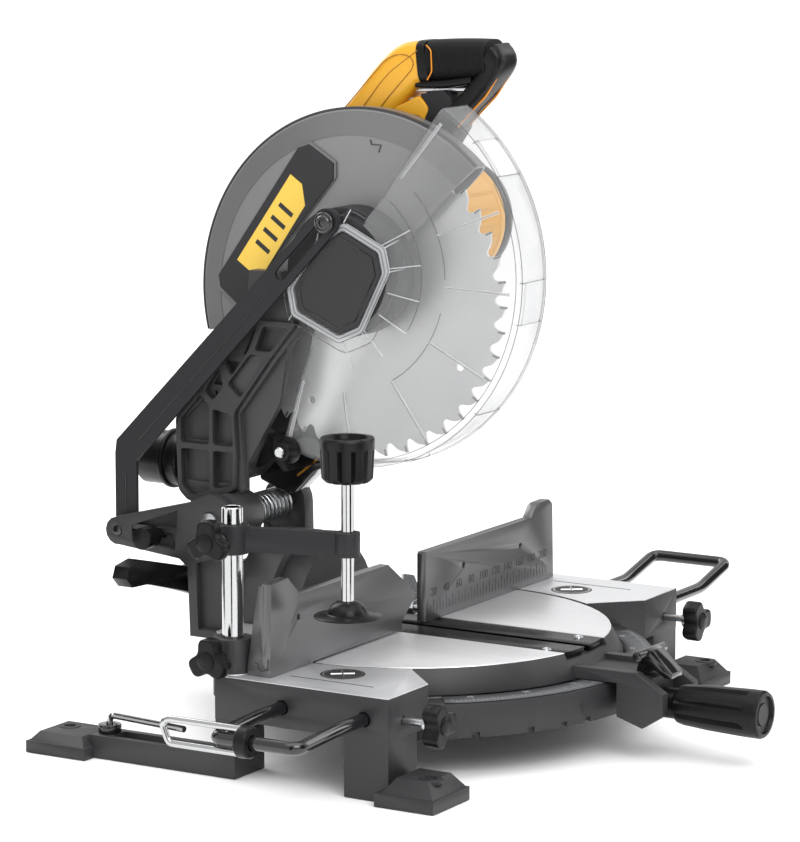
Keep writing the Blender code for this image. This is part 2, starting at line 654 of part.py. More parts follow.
def head_shaft():
    shaft = rod("head_pivot_shaft", (-73, HEAD_Y, HEAD_Z), (55, HEAD_Y, HEAD_Z), 7.0, 24)
    return paint(shaft, STEEL, 0.25, 1.0)


def return_spring():
    """Torsion spring wound round the head's pivot shaft, with both legs tucked in."""
    turns = 7.5
    count = 90
    first, last = -17.0, 34.0
    coil = 11.6
    path = []
    for i in range(count + 1):
        t = i / count
        angle = 2 * pi * turns * t
        path.append((first + (last - first) * t, HEAD_Y + coil * cos(angle), HEAD_Z + coil * sin(angle)))
    return paint(tube("return_spring", path, 1.5, 0), STEEL, 0.3, 1.0)


def head_lock_pin():
    pin = rod("head_lock_pin", (-79, 196, 142), (-56, 196, 142), 4.0, 16)
    knob = rod("knob", (-94, 196, 142), (-78, 196, 142), 9, 20)
    return paint(join(pin, knob), BLACK, 0.35)


# ---------------------------------------------------------------- head

def head_arm():
    """The ribbed casting from the pivot barrel up to the blade housing."""
    left = [(76, 318), (102, 287), (138, 240), (136, 207), (138, 176)]
    left += arc((HEAD_Y, HEAD_Z), 22.5, 112, 25, 6)
    left += [(184, 163), (196, 174), (198, 235), (169, 267), (132, 318), (128, 356), (100, 356)]
    plate = prism("head_arm", [left], "YZ", RIB_X, RIB_X + 12)
    barrel = rod("barrel", (EAR_INNER + 0.5, HEAD_Y, HEAD_Z), (-20, HEAD_Y, HEAD_Z), 19, 32)
    neck = prism("barrel_neck", [[(140, 158), (140, 190), (184, 190), (176, 158)]], "YZ", RIB_X + 1, -21)
    core = [(104, 250), (134, 200), (150, 182), (190, 182), (194, 235), (165, 262), (140, 318), (92, 318)]
    box_core = prism("core", [core], "YZ", RIB_X + 6, 30)
    bridge = prism("bridge", [[(95, 290), (158, 264), (141, 339), (95, 341)]], "YZ", 14, 46)
    arm = join(plate, barrel, neck, box_core, bridge)
    pockets = []
    for outline in (((147, 262), (163, 262), (150, 282), (138, 282)),
                    ((166, 216), (191, 216), (191, 232), (166, 256)),
                    ((142, 214), (161, 214), (161, 258), (142, 244)),
                    ((166, 182), (190, 182), (190, 211), (166, 211)),
                    ((142, 184), (161, 182), (161, 209), (142, 209)),
                    ((112, 288), (134, 288), (124, 310), (96, 310))):
        pockets.append(prism("pocket", [list(outline)], "YZ", RIB_X - 1, RIB_X + 4))
    shaft_bore = rod("shaft_bore", (-65, HEAD_Y, HEAD_Z), (-10, HEAD_Y, HEAD_Z), 7.4, 24)
    blade_room = rod("blade_room", (-15, ARBOR_Y, ARBOR_Z), (14.3, ARBOR_Y, ARBOR_Z), UPPER_RADIUS + 0.5, 72)
    guard_room = rod("guard_room", (-26, GUARD_Y, GUARD_Z), (9, GUARD_Y, GUARD_Z), LOWER_RADIUS + 1.5, 72)
    duct = rod("dust_duct", (-4, 90, 215), (-4, 205, 200), 17, 24)
    return paint(cut(arm, shaft_bore, blade_room, guard_room, duct, *pockets), CAST, 0.6)


def upper_guard():
    """The fixed blade housing, a thin shell open towards the work."""
    profile = [(26, -13.5), (128, -13.5), (UPPER_RADIUS, -6), (UPPER_RADIUS, 8), (141, 13.5), (26, 13.5),
               (26, 11), (139.5, 11), (147, 7), (147, -5), (127, -11), (26, -11)]
    shell = turned("upper_guard", profile, (0, ARBOR_Y, ARBOR_Z), "X", 60)
    wedge = prism("wedge", [sector((ARBOR_Y, ARBOR_Z), 27, 200, -14, 134)], "YZ", -20, 20)
    return paint(keep(shell, wedge), GREY, 0.4, 0.2)


def badge_plate():
    outline = [(96, 452), (86, 455.5), (63, 442), (63, 429), (153, 324), (170, 338), (172, 348)]
    return paint(prism("badge_plate", [outline], "YZ", -16.6, -13.9), CAST, 0.5)


def gearbox():
    """Gear housing on the right of the blade, open towards the motor."""
    outline = arc((ARBOR_Y, ARBOR_Z), 46, 170, 370, 20) + arc((MOTOR_Y, MOTOR_Z), 52, 0, 180, 20)
    inner = arc((ARBOR_Y, ARBOR_Z), 42, 170, 370, 20) + arc((MOTOR_Y, MOTOR_Z), 48, 0, 180, 20)
    shell = prism("gearbox_housing", [outline], "YZ", 14, 60)
    room = prism("gear_room", [inner], "YZ", 22, 61)
    bore = rod("spindle_bore", (10, ARBOR_Y, ARBOR_Z), (30, ARBOR_Y, ARBOR_Z), 12.5, 24)
    arm_room = prism("arm_room", [[(91.5, 240), (200, 240), (200, 342), (91.5, 342)]], "YZ", 10, 46.5)
    return paint(cut(shell, room, bore, arm_room), CAST, 0.5)


def motor_housing():
    profile = [(MOTOR_RADIUS, 60.4), (MOTOR_RADIUS, 148), (MOTOR_RADIUS - 3, 148), (MOTOR_RADIUS - 3, 64),
               (16, 64), (16, 60.4)]
    shell = turned("motor_housing", profile, (0, MOTOR_Y, MOTOR_Z), "X", 48)
    vents = []
    for angle in (150, 165, 180, 195, 210):
        y, z = MOTOR_Y + 49 * cos(radians(angle)), MOTOR_Z + 49 * sin(radians(angle))
        vents.append(box("vent", (74, y - 8, z - 2), (104, y + 8, z + 2)))
    return paint(cut(shell, *vents), YELLOW, 0.45)


def motor_end_cap():
    profile = [(0, 170), (38, 170), (MOTOR_RADIUS - 4, 166), (MOTOR_RADIUS, 158), (MOTOR_RADIUS, 148.4),
               (46.5, 148.4), (46.5, 160), (12, 164), (12, 166), (0, 166)]
    cap = turned("motor_end_cap", profile, (0, MOTOR_Y, MOTOR_Z), "X", 36, closed=False)
    slots = [box("slot", (145, MOTOR_Y - 30, MOTOR_Z + z), (175, MOTOR_Y + 30, MOTOR_Z + z + 3))
             for z in (-26, -16, 14, 24)]
    return paint(cut(cap, *slots), BLACK, 0.5)


def motor_internals():
    """Stator, armature with its pinion, and cooling fan."""
    stator = turned("motor_stator", [(46.4, 92), (46.4, 136), (31, 136), (31, 92)],
                    (0, MOTOR_Y, MOTOR_Z), "X", 32)
    paint(stator, STEEL, 0.4, 0.8)
    armature = turned("motor_armature",
                      [(0, 30), (10.5, 30), (10.5, 56), (5, 56), (5, 88), (30, 88), (30, 138), (14, 138),
                       (14, 156), (5, 156), (5, 162), (0, 162)],
                      (0, MOTOR_Y, MOTOR_Z), "X", 32, closed=False)
    paint(armature, COPPER, 0.4, 0.8)
    fan = turned("motor_fan", [(44, 68), (44, 70), (20, 71), (20, 86), (5.4, 86), (5.4, 68)],
                 (0, MOTOR_Y, MOTOR_Z), "X", 32)
    paint(fan, BLACK, 0.5)
    return stator, armature, fan


def handle_outline():
    outer = [(86, 450), (90, 472), (56, 513), (34, 529), (10, 537), (-20, 541.5), (-44, 541.5), (-56, 533),
             (-58, 518), (-34, 488), (-26, 462), (-12, 438)]
    inner = [(32, 480), (24, 477), (-14, 477), (-22, 482), (-40, 502), (-36, 508), (8, 503)]
    return outer, inner


def handle_half(name, low, high):
    outer, inner = handle_outline()
    half = prism(name, [outer, inner], "YZ", low, high)
    under = rod("motor_room", (10, MOTOR_Y, MOTOR_Z), (60, MOTOR_Y, MOTOR_Z), 52.6, 48)
    slim = []
    for z_low, z_high in ((536.5, 560), (496, 511.5)):
        slim.append(box("grip_seat", (low - 1, -48.6, z_low), (high + 1, 8.6, z_high)))
    edge = (low - 1, low + 6) if low < HANDLE_X - 10 else (high - 6, high + 1)
    slim.append(box("grip_side", (edge[0], -48.6, 496), (edge[1], 8.6, 560)))
    return paint(cut(half, under, *slim), YELLOW, 0.4)


def handle_grip():
    outline = [(HANDLE_X - 18.5, 512), (HANDLE_X - 18.5, 534), (HANDLE_X - 11, 541.5), (HANDLE_X + 11, 541.5),
               (HANDLE_X + 18.5, 534), (HANDLE_X + 18.5, 512), (HANDLE_X + 12, 506), (HANDLE_X - 12, 506)]
    core = [(HANDLE_X - 12.9, 511.1), (HANDLE_X - 12.9, 536.9), (HANDLE_X + 12.9, 536.9),
            (HANDLE_X + 12.9, 511.1)]
    grip = prism("handle_grip", [outline, core], "XZ", -48.2, 8.2)
    return paint(grip, BLACK, 0.7)


def trigger():
    outline = [(7, 504.4), (-34, 501.5), (-33, 498), (-27, 495.4), (0, 495.5), (8, 492), (12, 496)]
    return paint(prism("trigger", [outline], "YZ", HANDLE_X - 7, HANDLE_X + 7), GREY, 0.4)


def dust_port():
    profile = [(18, 0), (22, 0), (22, 8), (24.5, 9), (24.5, 13), (22, 14), (22, 22), (24.5, 23), (24.5, 27),
               (22, 28), (22, 50), (18, 50)]
    port = turned("dust_port", profile, (-4, 199, 192), "Y", 32)
    return paint(port, BLACK, 0.5)


def dust_chute():
    """The scoop behind the blade that feeds the dust port."""
    outline = [(100, 195), (106, 194), (118, 206), (119, 222), (113, 222), (110, 208)]
    return paint(prism("dust_chute", [outline], "YZ", -24, 13.5), BLACK, 0.6)


def guard_stop():
    bumper = rod("guard_stop_bumper", (-46, 94, 214), (-34, 94, 214), 7.5, 20, 11)
    return paint(bumper, BLACK, 0.5)


def guard_hub():
    """The fixed hub that the lower guard turns on."""
    profile = [(45.4, -45.6), (45.4, -38.6), (51, -38.6), (51, -14), (43.5, -14), (43.5, -38.6), (38, -43),
               (10, -43), (10, -45.6)]
    hub = turned("guard_hub", profile, (0, GUARD_Y, GUARD_Z), "X", 48)
    return paint(hub, STEEL, 0.4, 0.8)


# ---------------------------------------------------------------- spindle

def blade():
    points = []
    for i in range(TEETH):
        start = 2 * pi * i / TEETH
        pitch = 2 * pi / TEETH
        for part, radius in ((0.0, BLADE_RADIUS), (0.42, BLADE_RADIUS - 3.2), (0.66, BLADE_RADIUS - 9.5),
                             (0.92, BLADE_RADIUS - 9.0)):
            angle = start + part * pitch
            points.append((ARBOR_Y + radius * cos(angle), ARBOR_Z + radius * sin(angle)))
    bore = ring((ARBOR_Y, ARBOR_Z), 15.1, 24)
    return paint(prism("saw_blade", [points, bore], "YZ", -BLADE_HALF, BLADE_HALF), STEEL, 0.3, 1.0)


def spindle_parts():
    centre = (0, ARBOR_Y, ARBOR_Z)
    spindle = turned("spindle", [(0, -8.7), (14.9, -8.7), (14.9, 7.7), (12, 7.7), (12, 56), (0, 56)], centre,
                     "X", 24, closed=False)
    spindle = cut(spindle, rod("bolt_bore", (-10, ARBOR_Y, ARBOR_Z), (12, ARBOR_Y, ARBOR_Z), 4.4, 16))
    paint(spindle, STEEL, 0.3, 1.0)
    inner = turned("inner_flange", [(24, 1.7), (24, 7.4), (15.2, 7.4), (15.2, 1.7)], centre, "X", 24)
    paint(inner, STEEL, 0.3, 1.0)
    outer = turned("outer_flange", [(24, -7), (24, -1.7), (15.2, -1.7), (15.2, -7)], centre, "X", 24)
    paint(outer, STEEL, 0.3, 1.0)
    bolt = join(rod("arbor_bolt", (-11, ARBOR_Y, ARBOR_Z), (10, ARBOR_Y, ARBOR_Z), 4.0, 16),
                rod("washer", (-11.5, ARBOR_Y, ARBOR_Z), (-9.1, ARBOR_Y, ARBOR_Z), 17, 24),
                rod("head", (-19, ARBOR_Y, ARBOR_Z), (-11, ARBOR_Y, ARBOR_Z), 9, 6))
    paint(bolt, BLACK, 0.3, 0.8)
    gear = turned("driven_gear", [(38, 32), (38, 50), (12.4, 50), (12.4, 32)], centre, "X", 32)
    paint(gear, STEEL, 0.4, 0.9)
    return spindle, inner, outer, bolt, gear


# ---------------------------------------------------------------- lower guard and its link

def lower_guard():
    """The clear guard: a stepped cone wall, a rim wall and a raised hub."""
    profile = [(LOWER_RADIUS, 7), (LOWER_RADIUS, -30), (92, -41.5), (72, -41.5), (54, -49), (46, -49),
               (46, -46.2), (53.4, -46.2), (71.2, -38.8), (91.6, -38.8), (LOWER_RADIUS - 2.4, -27.8),
               (LOWER_RADIUS - 2.4, 7)]
    shell = turned("lower_guard", profile, (0, GUARD_Y, GUARD_Z), "X", 60)
    wedge = prism("wedge", [sector((GUARD_Y, GUARD_Z), 73, 200, GUARD_START, GUARD_END)], "YZ", -60, 20)
    return paint(keep(shell, wedge), CLEAR, 0.05)


def hub_plate():
    outline = [(34, 396), (26, 397), (-1, 383), (-5, 364), (16, 322), (35, 316), (72, 334), (76, 352)]
    centre_shift = (3.0, 2.5)
    points = [(y + centre_shift[0], z + centre_shift[1]) for y, z in outline]
    plate = prism("guard_hub_plate", [points], "YZ", -53.4, -49.4)
    ear = rod("ear", (-53.4, LINK_TOP_Y, LINK_TOP_Z), (-49.4, LINK_TOP_Y, LINK_TOP_Z), 10, 20)
    return paint(join(plate, ear), CAST, 0.45)


def link_arm():
    """The slotted guard link, bent near its foot."""
    bend = (236.0, 204.0)
    foot, top = (LINK_Y, LINK_Z), (LINK_TOP_Y, LINK_TOP_Z)
    half = 10.5
    lean = atan2(top[1] - bend[1], top[0] - bend[0])
    across = (-sin(lean), cos(lean))
    tight = tan((lean - pi / 2) / 2)
    outline = arc(foot, half, 180, 360, 8)
    outline += [(bend[0] + half, bend[1] + half * tight * -1 + 4)]
    outline += [(bend[0] + half - 2, bend[1] + 12)]
    outline += arc(top, half + 0.5, degrees(lean - pi / 2), degrees(lean + pi / 2), 8)
    outline += [(bend[0] - half, bend[1] - half * tight * -1 - 8)]
    slot = []
    slot_end = (top[0] - 60 * cos(lean), top[1] - 60 * sin(lean))
    for centre, start in ((top, lean - pi / 2), (slot_end, lean + pi / 2)):
        slot += arc(centre, 4.8, degrees(start), degrees(start + pi), 6)
    arm = prism("guard_link_arm", [outline, slot], "YZ", -57.4, -54.0)
    bore = rod("bore", (-60, LINK_Y, LINK_Z), (-50, LINK_Y, LINK_Z), 4.4, 16)
    return paint(cut(arm, bore), BLACK, 0.4)


def link_pins():
    top = turned("link_top_bolt", [(0, -61.6), (6, -61.6), (8.5, -60.4), (8.5, -57.8), (0, -57.8)],
                 (0, LINK_TOP_Y, LINK_TOP_Z), "X", 20, closed=False)
    paint(top, STEEL, 0.3, 0.9)
    pin = join(rod("link_foot_pin", (-70.5, LINK_Y, LINK_Z), (-52, LINK_Y, LINK_Z), 4.0, 16),
               rod("pin_head", (-53.6, LINK_Y, LINK_Z), (-50.5, LINK_Y, LINK_Z), 8, 16))
    paint(pin, STEEL, 0.3, 0.9)
    return top, pin


# ---------------------------------------------------------------- assembly

def pivot(name, place, parent=None):
    empty = bpy.data.objects.new(name, None)
    PARTS.objects.link(empty)
    empty.location = Vector(place) * MM
    if parent:
        bpy.context.view_layer.update()
        empty.parent = parent
        empty.matrix_parent_inverse = parent.matrix_world.inverted()
    return empty


def hang(parent, *objects):
    bpy.context.view_layer.update()
    for obj in objects:
        obj.parent = parent
        obj.matrix_parent_inverse = parent.matrix_world.inverted()


def smooth():
    for obj in PARTS.objects:
        if obj.type == "MESH":
            obj.data.shade_smooth()
            obj.data.set_sharp_from_angle(angle=radians(35))


def stand_on_origin(root):
    """Move the saw so that the middle of its footprint is over the origin."""
    bpy.context.view_layer.update()
    corners = [obj.matrix_world @ vertex.co for obj in PARTS.objects if obj.type == "MESH"
               for vertex in obj.data.vertices]
    for axis in (0, 1):
        values = [corner[axis] for corner in corners]
        root.location[axis] -= (min(values) + max(values)) / 2
    root.location.z -= min(corner.z for corner in corners)


clear_scene()
PARTS = new_collection("compound_miter_saw")

base = pivot("base", (0, 0, 0))
hang(base, base_casting(), mitre_scale_plate(), fence_left(), fence_right(), pivot_bolt(), leg_screw(),
     hex_key())

for label, side, out, rise in (("left", -1, 322, -3.0), ("right", 1, 371, 12.75)):
    bar = pivot(label + "_bar", (side * WING_X, BAR_FRONT, BAR_Z), base)
    hang(bar, extension_bar(label + "_extension_bar", side, out, rise))
    knob = pivot(label + "_bar_lock", (side * KNOB_X, -141, KNOB_Z), base)
    hang(knob, bar_knob(label + "_bar_lock_knob", side))
    if label == "left":
        hang(pivot("stop_hinge", (-322, -53, 57), bar), work_stop())

post = pivot("post_swivel", (POST_X, POST_Y, POST_BOTTOM), base)
hang(post, clamp_post())
hang(pivot("post_lock", (-238, POST_Y, 92), base), side_knob("post_lock_knob", -250, 92, 28.5))
arm_slide = pivot("clamp_arm_slide", (POST_X, POST_Y, CLAMP_LOW), post)
hang(arm_slide, clamp_arm())
hang(pivot("arm_lock", (-238, POST_Y, 181), arm_slide), side_knob("clamp_arm_lock_knob", -250, 181, 28.5))
screw_slide = pivot("screw_slide", (SCREW_X, SCREW_Y, CLAMP_LOW), arm_slide)
hang(screw_slide, clamp_screw(), clamp_knob(), clamp_foot())

table_turn = pivot("table_turn", (0, 0, TABLE_TOP), base)
hang(table_turn, turntable(), kerf_insert("kerf_insert_left", -1), kerf_insert("kerf_insert_right", 1))
hang(pivot("mitre_lock_turn", (0, LOCK_START, LOCK_Z), table_turn), *mitre_lock())
hang(pivot("detent_hinge", (0, -207, 68), table_turn), detent_lever())

tilt = pivot("bevel_tilt", (0, 110, TABLE_TOP), table_turn)
hang(table_turn, bevel_pivot_bolt(), bevel_nut())
hang(tilt, bevel_arm(), head_shaft(), return_spring())
hang(pivot("bevel_lever_turn", (-40, 178, 100), tilt), bevel_lever())
hang(pivot("lock_pin_slide", (-70, 196, 142), tilt), head_lock_pin())

head = pivot("head_hinge", (0, HEAD_Y, HEAD_Z), tilt)
stator, armature, fan = motor_internals()
hang(head, head_arm(), upper_guard(), badge_plate(), gearbox(), motor_housing(), motor_end_cap(), stator,
     handle_half("handle_left_shell", HANDLE_X - HANDLE_HALF, HANDLE_X - 0.2),
     handle_half("handle_right_shell", HANDLE_X + 0.2, HANDLE_X + HANDLE_HALF),
     handle_grip(), dust_port(), dust_chute(), guard_stop(), guard_hub())
hang(pivot("trigger_hinge", (HANDLE_X, 8, 499), head), trigger())
hang(pivot("motor_axis", (0, MOTOR_Y, MOTOR_Z), head), armature, fan)
hang(pivot("arbor_axis", (0, ARBOR_Y, ARBOR_Z), head), blade(), *spindle_parts())
top_bolt, foot_pin = link_pins()
hang(pivot("guard_axis", (0, GUARD_Y, GUARD_Z), head), lower_guard(), hub_plate(), top_bolt)
hang(pivot("link_axis", (0, LINK_Y, LINK_Z), tilt), link_arm(), foot_pin)
smooth()
stand_on_origin(base)
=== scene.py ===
"""Looks of the compound miter saw: smooth shells, fine details and procedural materials.

Lengths are millimetres from the turntable's axis at bench level, the way the saw was measured.
The helpers turn them into metres in the frame's own coordinates. +X is the operator's right,
+Y points away from the operator and +Z is up.
"""
import json
from math import atan2, cos, degrees, pi, radians, sin

import bmesh
import bpy
from mathutils import Matrix, Vector


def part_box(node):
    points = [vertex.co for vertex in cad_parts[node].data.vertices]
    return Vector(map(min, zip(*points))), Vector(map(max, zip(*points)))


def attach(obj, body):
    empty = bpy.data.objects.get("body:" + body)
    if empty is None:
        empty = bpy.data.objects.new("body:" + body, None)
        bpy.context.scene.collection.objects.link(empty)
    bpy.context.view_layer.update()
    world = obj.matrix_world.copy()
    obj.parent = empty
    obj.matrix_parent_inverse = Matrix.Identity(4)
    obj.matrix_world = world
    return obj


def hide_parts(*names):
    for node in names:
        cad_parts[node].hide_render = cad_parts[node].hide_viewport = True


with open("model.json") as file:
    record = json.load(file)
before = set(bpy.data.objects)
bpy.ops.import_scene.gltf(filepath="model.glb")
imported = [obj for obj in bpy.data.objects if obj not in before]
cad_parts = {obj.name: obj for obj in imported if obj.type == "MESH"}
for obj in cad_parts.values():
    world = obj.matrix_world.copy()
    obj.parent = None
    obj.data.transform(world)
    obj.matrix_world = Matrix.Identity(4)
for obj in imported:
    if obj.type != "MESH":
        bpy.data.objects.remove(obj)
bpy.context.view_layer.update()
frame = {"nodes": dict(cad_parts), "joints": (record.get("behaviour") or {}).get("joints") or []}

MM = 0.001
JOINTS = {joint["name"]: joint for joint in frame["joints"]}
ORIGIN = Vector((*JOINTS["mitre_turn"]["pos_m"][:2], 0.0))


def anchor(name):
    """A joint's point in millimetres from the turntable's axis."""
    return (Vector(JOINTS[name]["pos_m"]) - ORIGIN) / MM


def middle_of(node):
    """The middle of a CAD node's box in the same millimetres."""
    low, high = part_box(node)
    return ((low + high) / 2 - ORIGIN) / MM


TABLE_TOP = anchor("mitre_turn").z
HEAD = anchor("head_swing")
ARBOR = anchor("spindle_spin")
GUARD = anchor("guard_swing")
MOTOR = anchor("armature_spin")
LINK_FOOT = anchor("guard_link_swing")
LINK_TOP = middle_of("link_top_bolt")
HANDLE_X = middle_of("handle_grip").x
ARBOR_YZ = (ARBOR.y, ARBOR.z)
GUARD_YZ = (GUARD.y, GUARD.z)
MOTOR_YZ = (MOTOR.y, MOTOR.z)


# ---------------------------------------------------------------- materials

GLOSS_SPREAD = 0.06
GRAIN_DEPTH = 0.3 * MM
BRUSH_DEPTH = 0.1 * MM
EVEN = (1, 1, 1)


def new_material(name):
    material = bpy.data.materials.new(name)
    material.use_nodes = True
    return material, material.node_tree.nodes, material.node_tree.links


def set_inputs(node, **values):
    """Set a node's sockets; an underscore stands for a space in the socket's name."""
    for name, value in values.items():
        node.inputs[name.replace("_", " ")].default_value = value
    return node


def noise_input(nodes, links, stretch, scale, detail):
    """Noise laid out in the object's own metres, stretched to make brush lines."""
    coordinates = nodes.new("ShaderNodeTexCoord")
    mapping = set_inputs(nodes.new("ShaderNodeMapping"), Scale=stretch)
    noise = set_inputs(nodes.new("ShaderNodeTexNoise"), Scale=scale, Detail=detail)
    links.new(coordinates.outputs["Object"], mapping.inputs["Vector"])
    links.new(mapping.outputs["Vector"], noise.inputs["Vector"])
    return noise.outputs["Fac"]


def spread(nodes, links, source, low, high):
    """Map a 0.3 to 0.7 noise onto the range from low to high."""
    scaled = set_inputs(nodes.new("ShaderNodeMapRange"), From_Min=0.3, From_Max=0.7, To_Min=low, To_Max=high)
    links.new(source, scaled.inputs["Value"])
    return scaled.outputs["Result"]


def mix_colours(nodes, links, factor, first, second, target):
    mix = nodes.new("ShaderNodeMix")
    mix.data_type = "RGBA"
    set_inputs(mix, A=(*first, 1), B=(*second, 1))
    links.new(factor, mix.inputs["Factor"])
    links.new(mix.outputs["Result"], target)


def add_bump(nodes, links, height, shader, strength, depth):
    bump = set_inputs(nodes.new("ShaderNodeBump"), Strength=strength, Distance=depth)
    links.new(height, bump.inputs["Height"])
    links.new(bump.outputs["Normal"], shader.inputs["Normal"])


def mix_shaders(nodes, links, factor, first, second):
    """Show the first shader where the factor is 0 and the second where it is 1."""
    mix = nodes.new("ShaderNodeMixShader")
    links.new(factor, mix.inputs["Fac"])
    links.new(first.outputs["BSDF"], mix.inputs[1])
    links.new(second.outputs["BSDF"], mix.inputs[2])
    links.new(mix.outputs["Shader"], nodes["Material Output"].inputs["Surface"])


def surface(name, colour, roughness, metallic=0.0, grain=0.1, grain_scale=900.0, variation=0.06,
            stretch=EVEN, coat=0.0, mottle_scale=25.0, specular=0.5):
    """A painted, moulded or metal surface with a fine grain and slow changes of tone and gloss."""
    material, nodes, links = new_material(name)
    shader = set_inputs(nodes["Principled BSDF"], Metallic=metallic, Coat_Weight=coat, Coat_Roughness=0.12,
                        Specular_IOR_Level=specular)
    fine = noise_input(nodes, links, stretch, grain_scale, 2.0)
    slow = noise_input(nodes, links, EVEN, mottle_scale, 3.0)
    mix_colours(nodes, links, slow, [c * (1 - variation) for c in colour],
                [min(1, c * (1 + variation)) for c in colour], shader.inputs["Base Color"])
    gloss = spread(nodes, links, fine, max(0.02, roughness - GLOSS_SPREAD), roughness + GLOSS_SPREAD)
    links.new(gloss, shader.inputs["Roughness"])
    add_bump(nodes, links, fine, shader, grain, GRAIN_DEPTH)
    return material


def machined(name, stretch, bright=(0.86, 0.865, 0.88)):
    """A dark casting whose face at table height is milled bright with straight brush lines."""
    material = surface(name, (0.022, 0.022, 0.024), 0.5, grain=0.25)
    nodes, links = material.node_tree.nodes, material.node_tree.links
    metal = set_inputs(nodes.new("ShaderNodeBsdfPrincipled"), Metallic=0.85)
    lines = noise_input(nodes, links, stretch, 8.0, 2.0)
    mix_colours(nodes, links, spread(nodes, links, lines, 0, 1), [c * 0.93 for c in bright], bright,
                metal.inputs["Base Color"])
    links.new(spread(nodes, links, lines, 0.36, 0.43), metal.inputs["Roughness"])
    add_bump(nodes, links, lines, metal, 0.05, BRUSH_DEPTH)
    coordinates = nodes.new("ShaderNodeTexCoord")
    split = nodes.new("ShaderNodeSeparateXYZ")
    milled = nodes.new("ShaderNodeMath")
    milled.operation = "COMPARE"
    milled.inputs[1].default_value = TABLE_TOP * MM
    milled.inputs[2].default_value = 0.5 * MM
    links.new(coordinates.outputs["Object"], split.inputs["Vector"])
    links.new(split.outputs["Z"], milled.inputs[0])
    mix_shaders(nodes, links, milled.outputs["Value"], nodes["Principled BSDF"], metal)
    return material


def clear_plastic(name, colour, thin, thick, tint=0.94):
    """Clear polycarbonate: a thin grey veil that grows denser where it is seen edge on; the grey is painted
    shade for the darkening that refraction gives at the walls.
    """
    material, nodes, links = new_material(name)
    shader = set_inputs(nodes["Principled BSDF"], Base_Color=(*colour, 1), Roughness=0.08, IOR=1.5)
    haze = noise_input(nodes, links, EVEN, 9.0, 2.0)
    edge = set_inputs(nodes.new("ShaderNodeLayerWeight"), Blend=0.3)
    painted_edge_shade = set_inputs(nodes.new("ShaderNodeMapRange"), To_Min=thin, To_Max=thick)
    uneven = nodes.new("ShaderNodeMath")
    uneven.operation = "MULTIPLY"
    links.new(edge.outputs["Facing"], painted_edge_shade.inputs["Value"])
    links.new(spread(nodes, links, haze, 0.92, 1.08), uneven.inputs[0])
    links.new(painted_edge_shade.outputs["Result"], uneven.inputs[1])
    through = set_inputs(nodes.new("ShaderNodeBsdfTransparent"), Color=(tint, tint, tint, 1))
    mix_shaders(nodes, links, uneven.outputs["Value"], through, shader)
    material.surface_render_method = "BLENDED"
    return material


CAST = surface("cast_black", (0.028, 0.028, 0.03), 0.5, grain=0.3, grain_scale=1400, variation=0.12)
# The head arm's finish is a lighter copy of the black cast finish, lightened for a highlight on the arm:
# painted highlight.
HEAD_CAST_PAINTED_HIGHLIGHT = surface("cast_head_painted_highlight", (0.04, 0.04, 0.042), 0.45, grain=0.25, grain_scale=1400, variation=0.12)
CAST_FINE = surface("cast_black_fine", (0.02, 0.02, 0.022), 0.45, grain=0.15, grain_scale=1800,
                    specular=0.25)
BLACK = surface("black_plastic", (0.006, 0.006, 0.0065), 0.3, grain=0.12, grain_scale=2200, specular=0.2)
GLOSS_BLACK = surface("gloss_black", (0.008, 0.008, 0.009), 0.14, grain=0.02, coat=0.5)
RUBBER = surface("grip_rubber", (0.006, 0.006, 0.006), 0.55, grain=0.2, grain_scale=2500, specular=0.3)
GUARD_GREY = surface("guard_grey", (0.23, 0.23, 0.232), 0.36, metallic=0.35, grain=0.08, variation=0.03)
# A darker copy of the guard grey: painted shade on the rim's slope, and the colour of the badge's frame.
GUARD_RIM_SHADE_AND_FRAME = surface("guard_rim_shade_and_frame_grey", (0.18, 0.18, 0.182), 0.36, metallic=0.45, grain=0.08, variation=0.03)
GUARD_LIP = surface("guard_lip_dark", (0.035, 0.036, 0.04), 0.35, grain=0.05)
DARK_PLATE = surface("dark_plate", (0.022, 0.022, 0.024), 0.45, grain=0.2, specular=0.4)
YELLOW = surface("yellow_plastic", (0.72, 0.36, 0.018), 0.36, grain=0.05, grain_scale=1600, variation=0.02)
# A darker copy of the yellow plastic for the fine lines in the handle's recess and seams and along the head
# web: painted shade.
YELLOW_SHADED = surface("yellow_shaded_lines", (0.33, 0.14, 0.006), 0.5, grain=0.05)
STICKER = surface("yellow_sticker", (0.8, 0.53, 0.07), 0.4, grain=0.02, variation=0.02)
ORANGE = surface("orange_edge", (0.72, 0.25, 0.01), 0.35, grain=0.05)
CHROME = surface("chrome", (0.5, 0.505, 0.51), 0.11, metallic=1.0, grain=0.01, variation=0.02)
STEEL = surface("plain_steel", (0.55, 0.56, 0.57), 0.28, metallic=1.0, grain=0.06, stretch=(1, 1, 12))
BLADE = surface("blade_steel", (0.95, 0.955, 0.96), 0.34, metallic=0.75, grain=0.0, grain_scale=500,
                variation=0.012, mottle_scale=12)
CARBIDE = surface("carbide", (0.32, 0.33, 0.35), 0.3, metallic=1.0, grain=0.05)
FENCE = surface("fence_metal", (0.15, 0.15, 0.153), 0.34, metallic=0.8, grain=0.04, grain_scale=1500,
                variation=0.05, mottle_scale=8)
EDGE_METAL = surface("cut_edge_metal", (0.72, 0.73, 0.75), 0.3, metallic=1.0, grain=0.05)
SCALE_GREY = surface("scale_grey", (0.08, 0.082, 0.086), 0.4, grain=0.05)
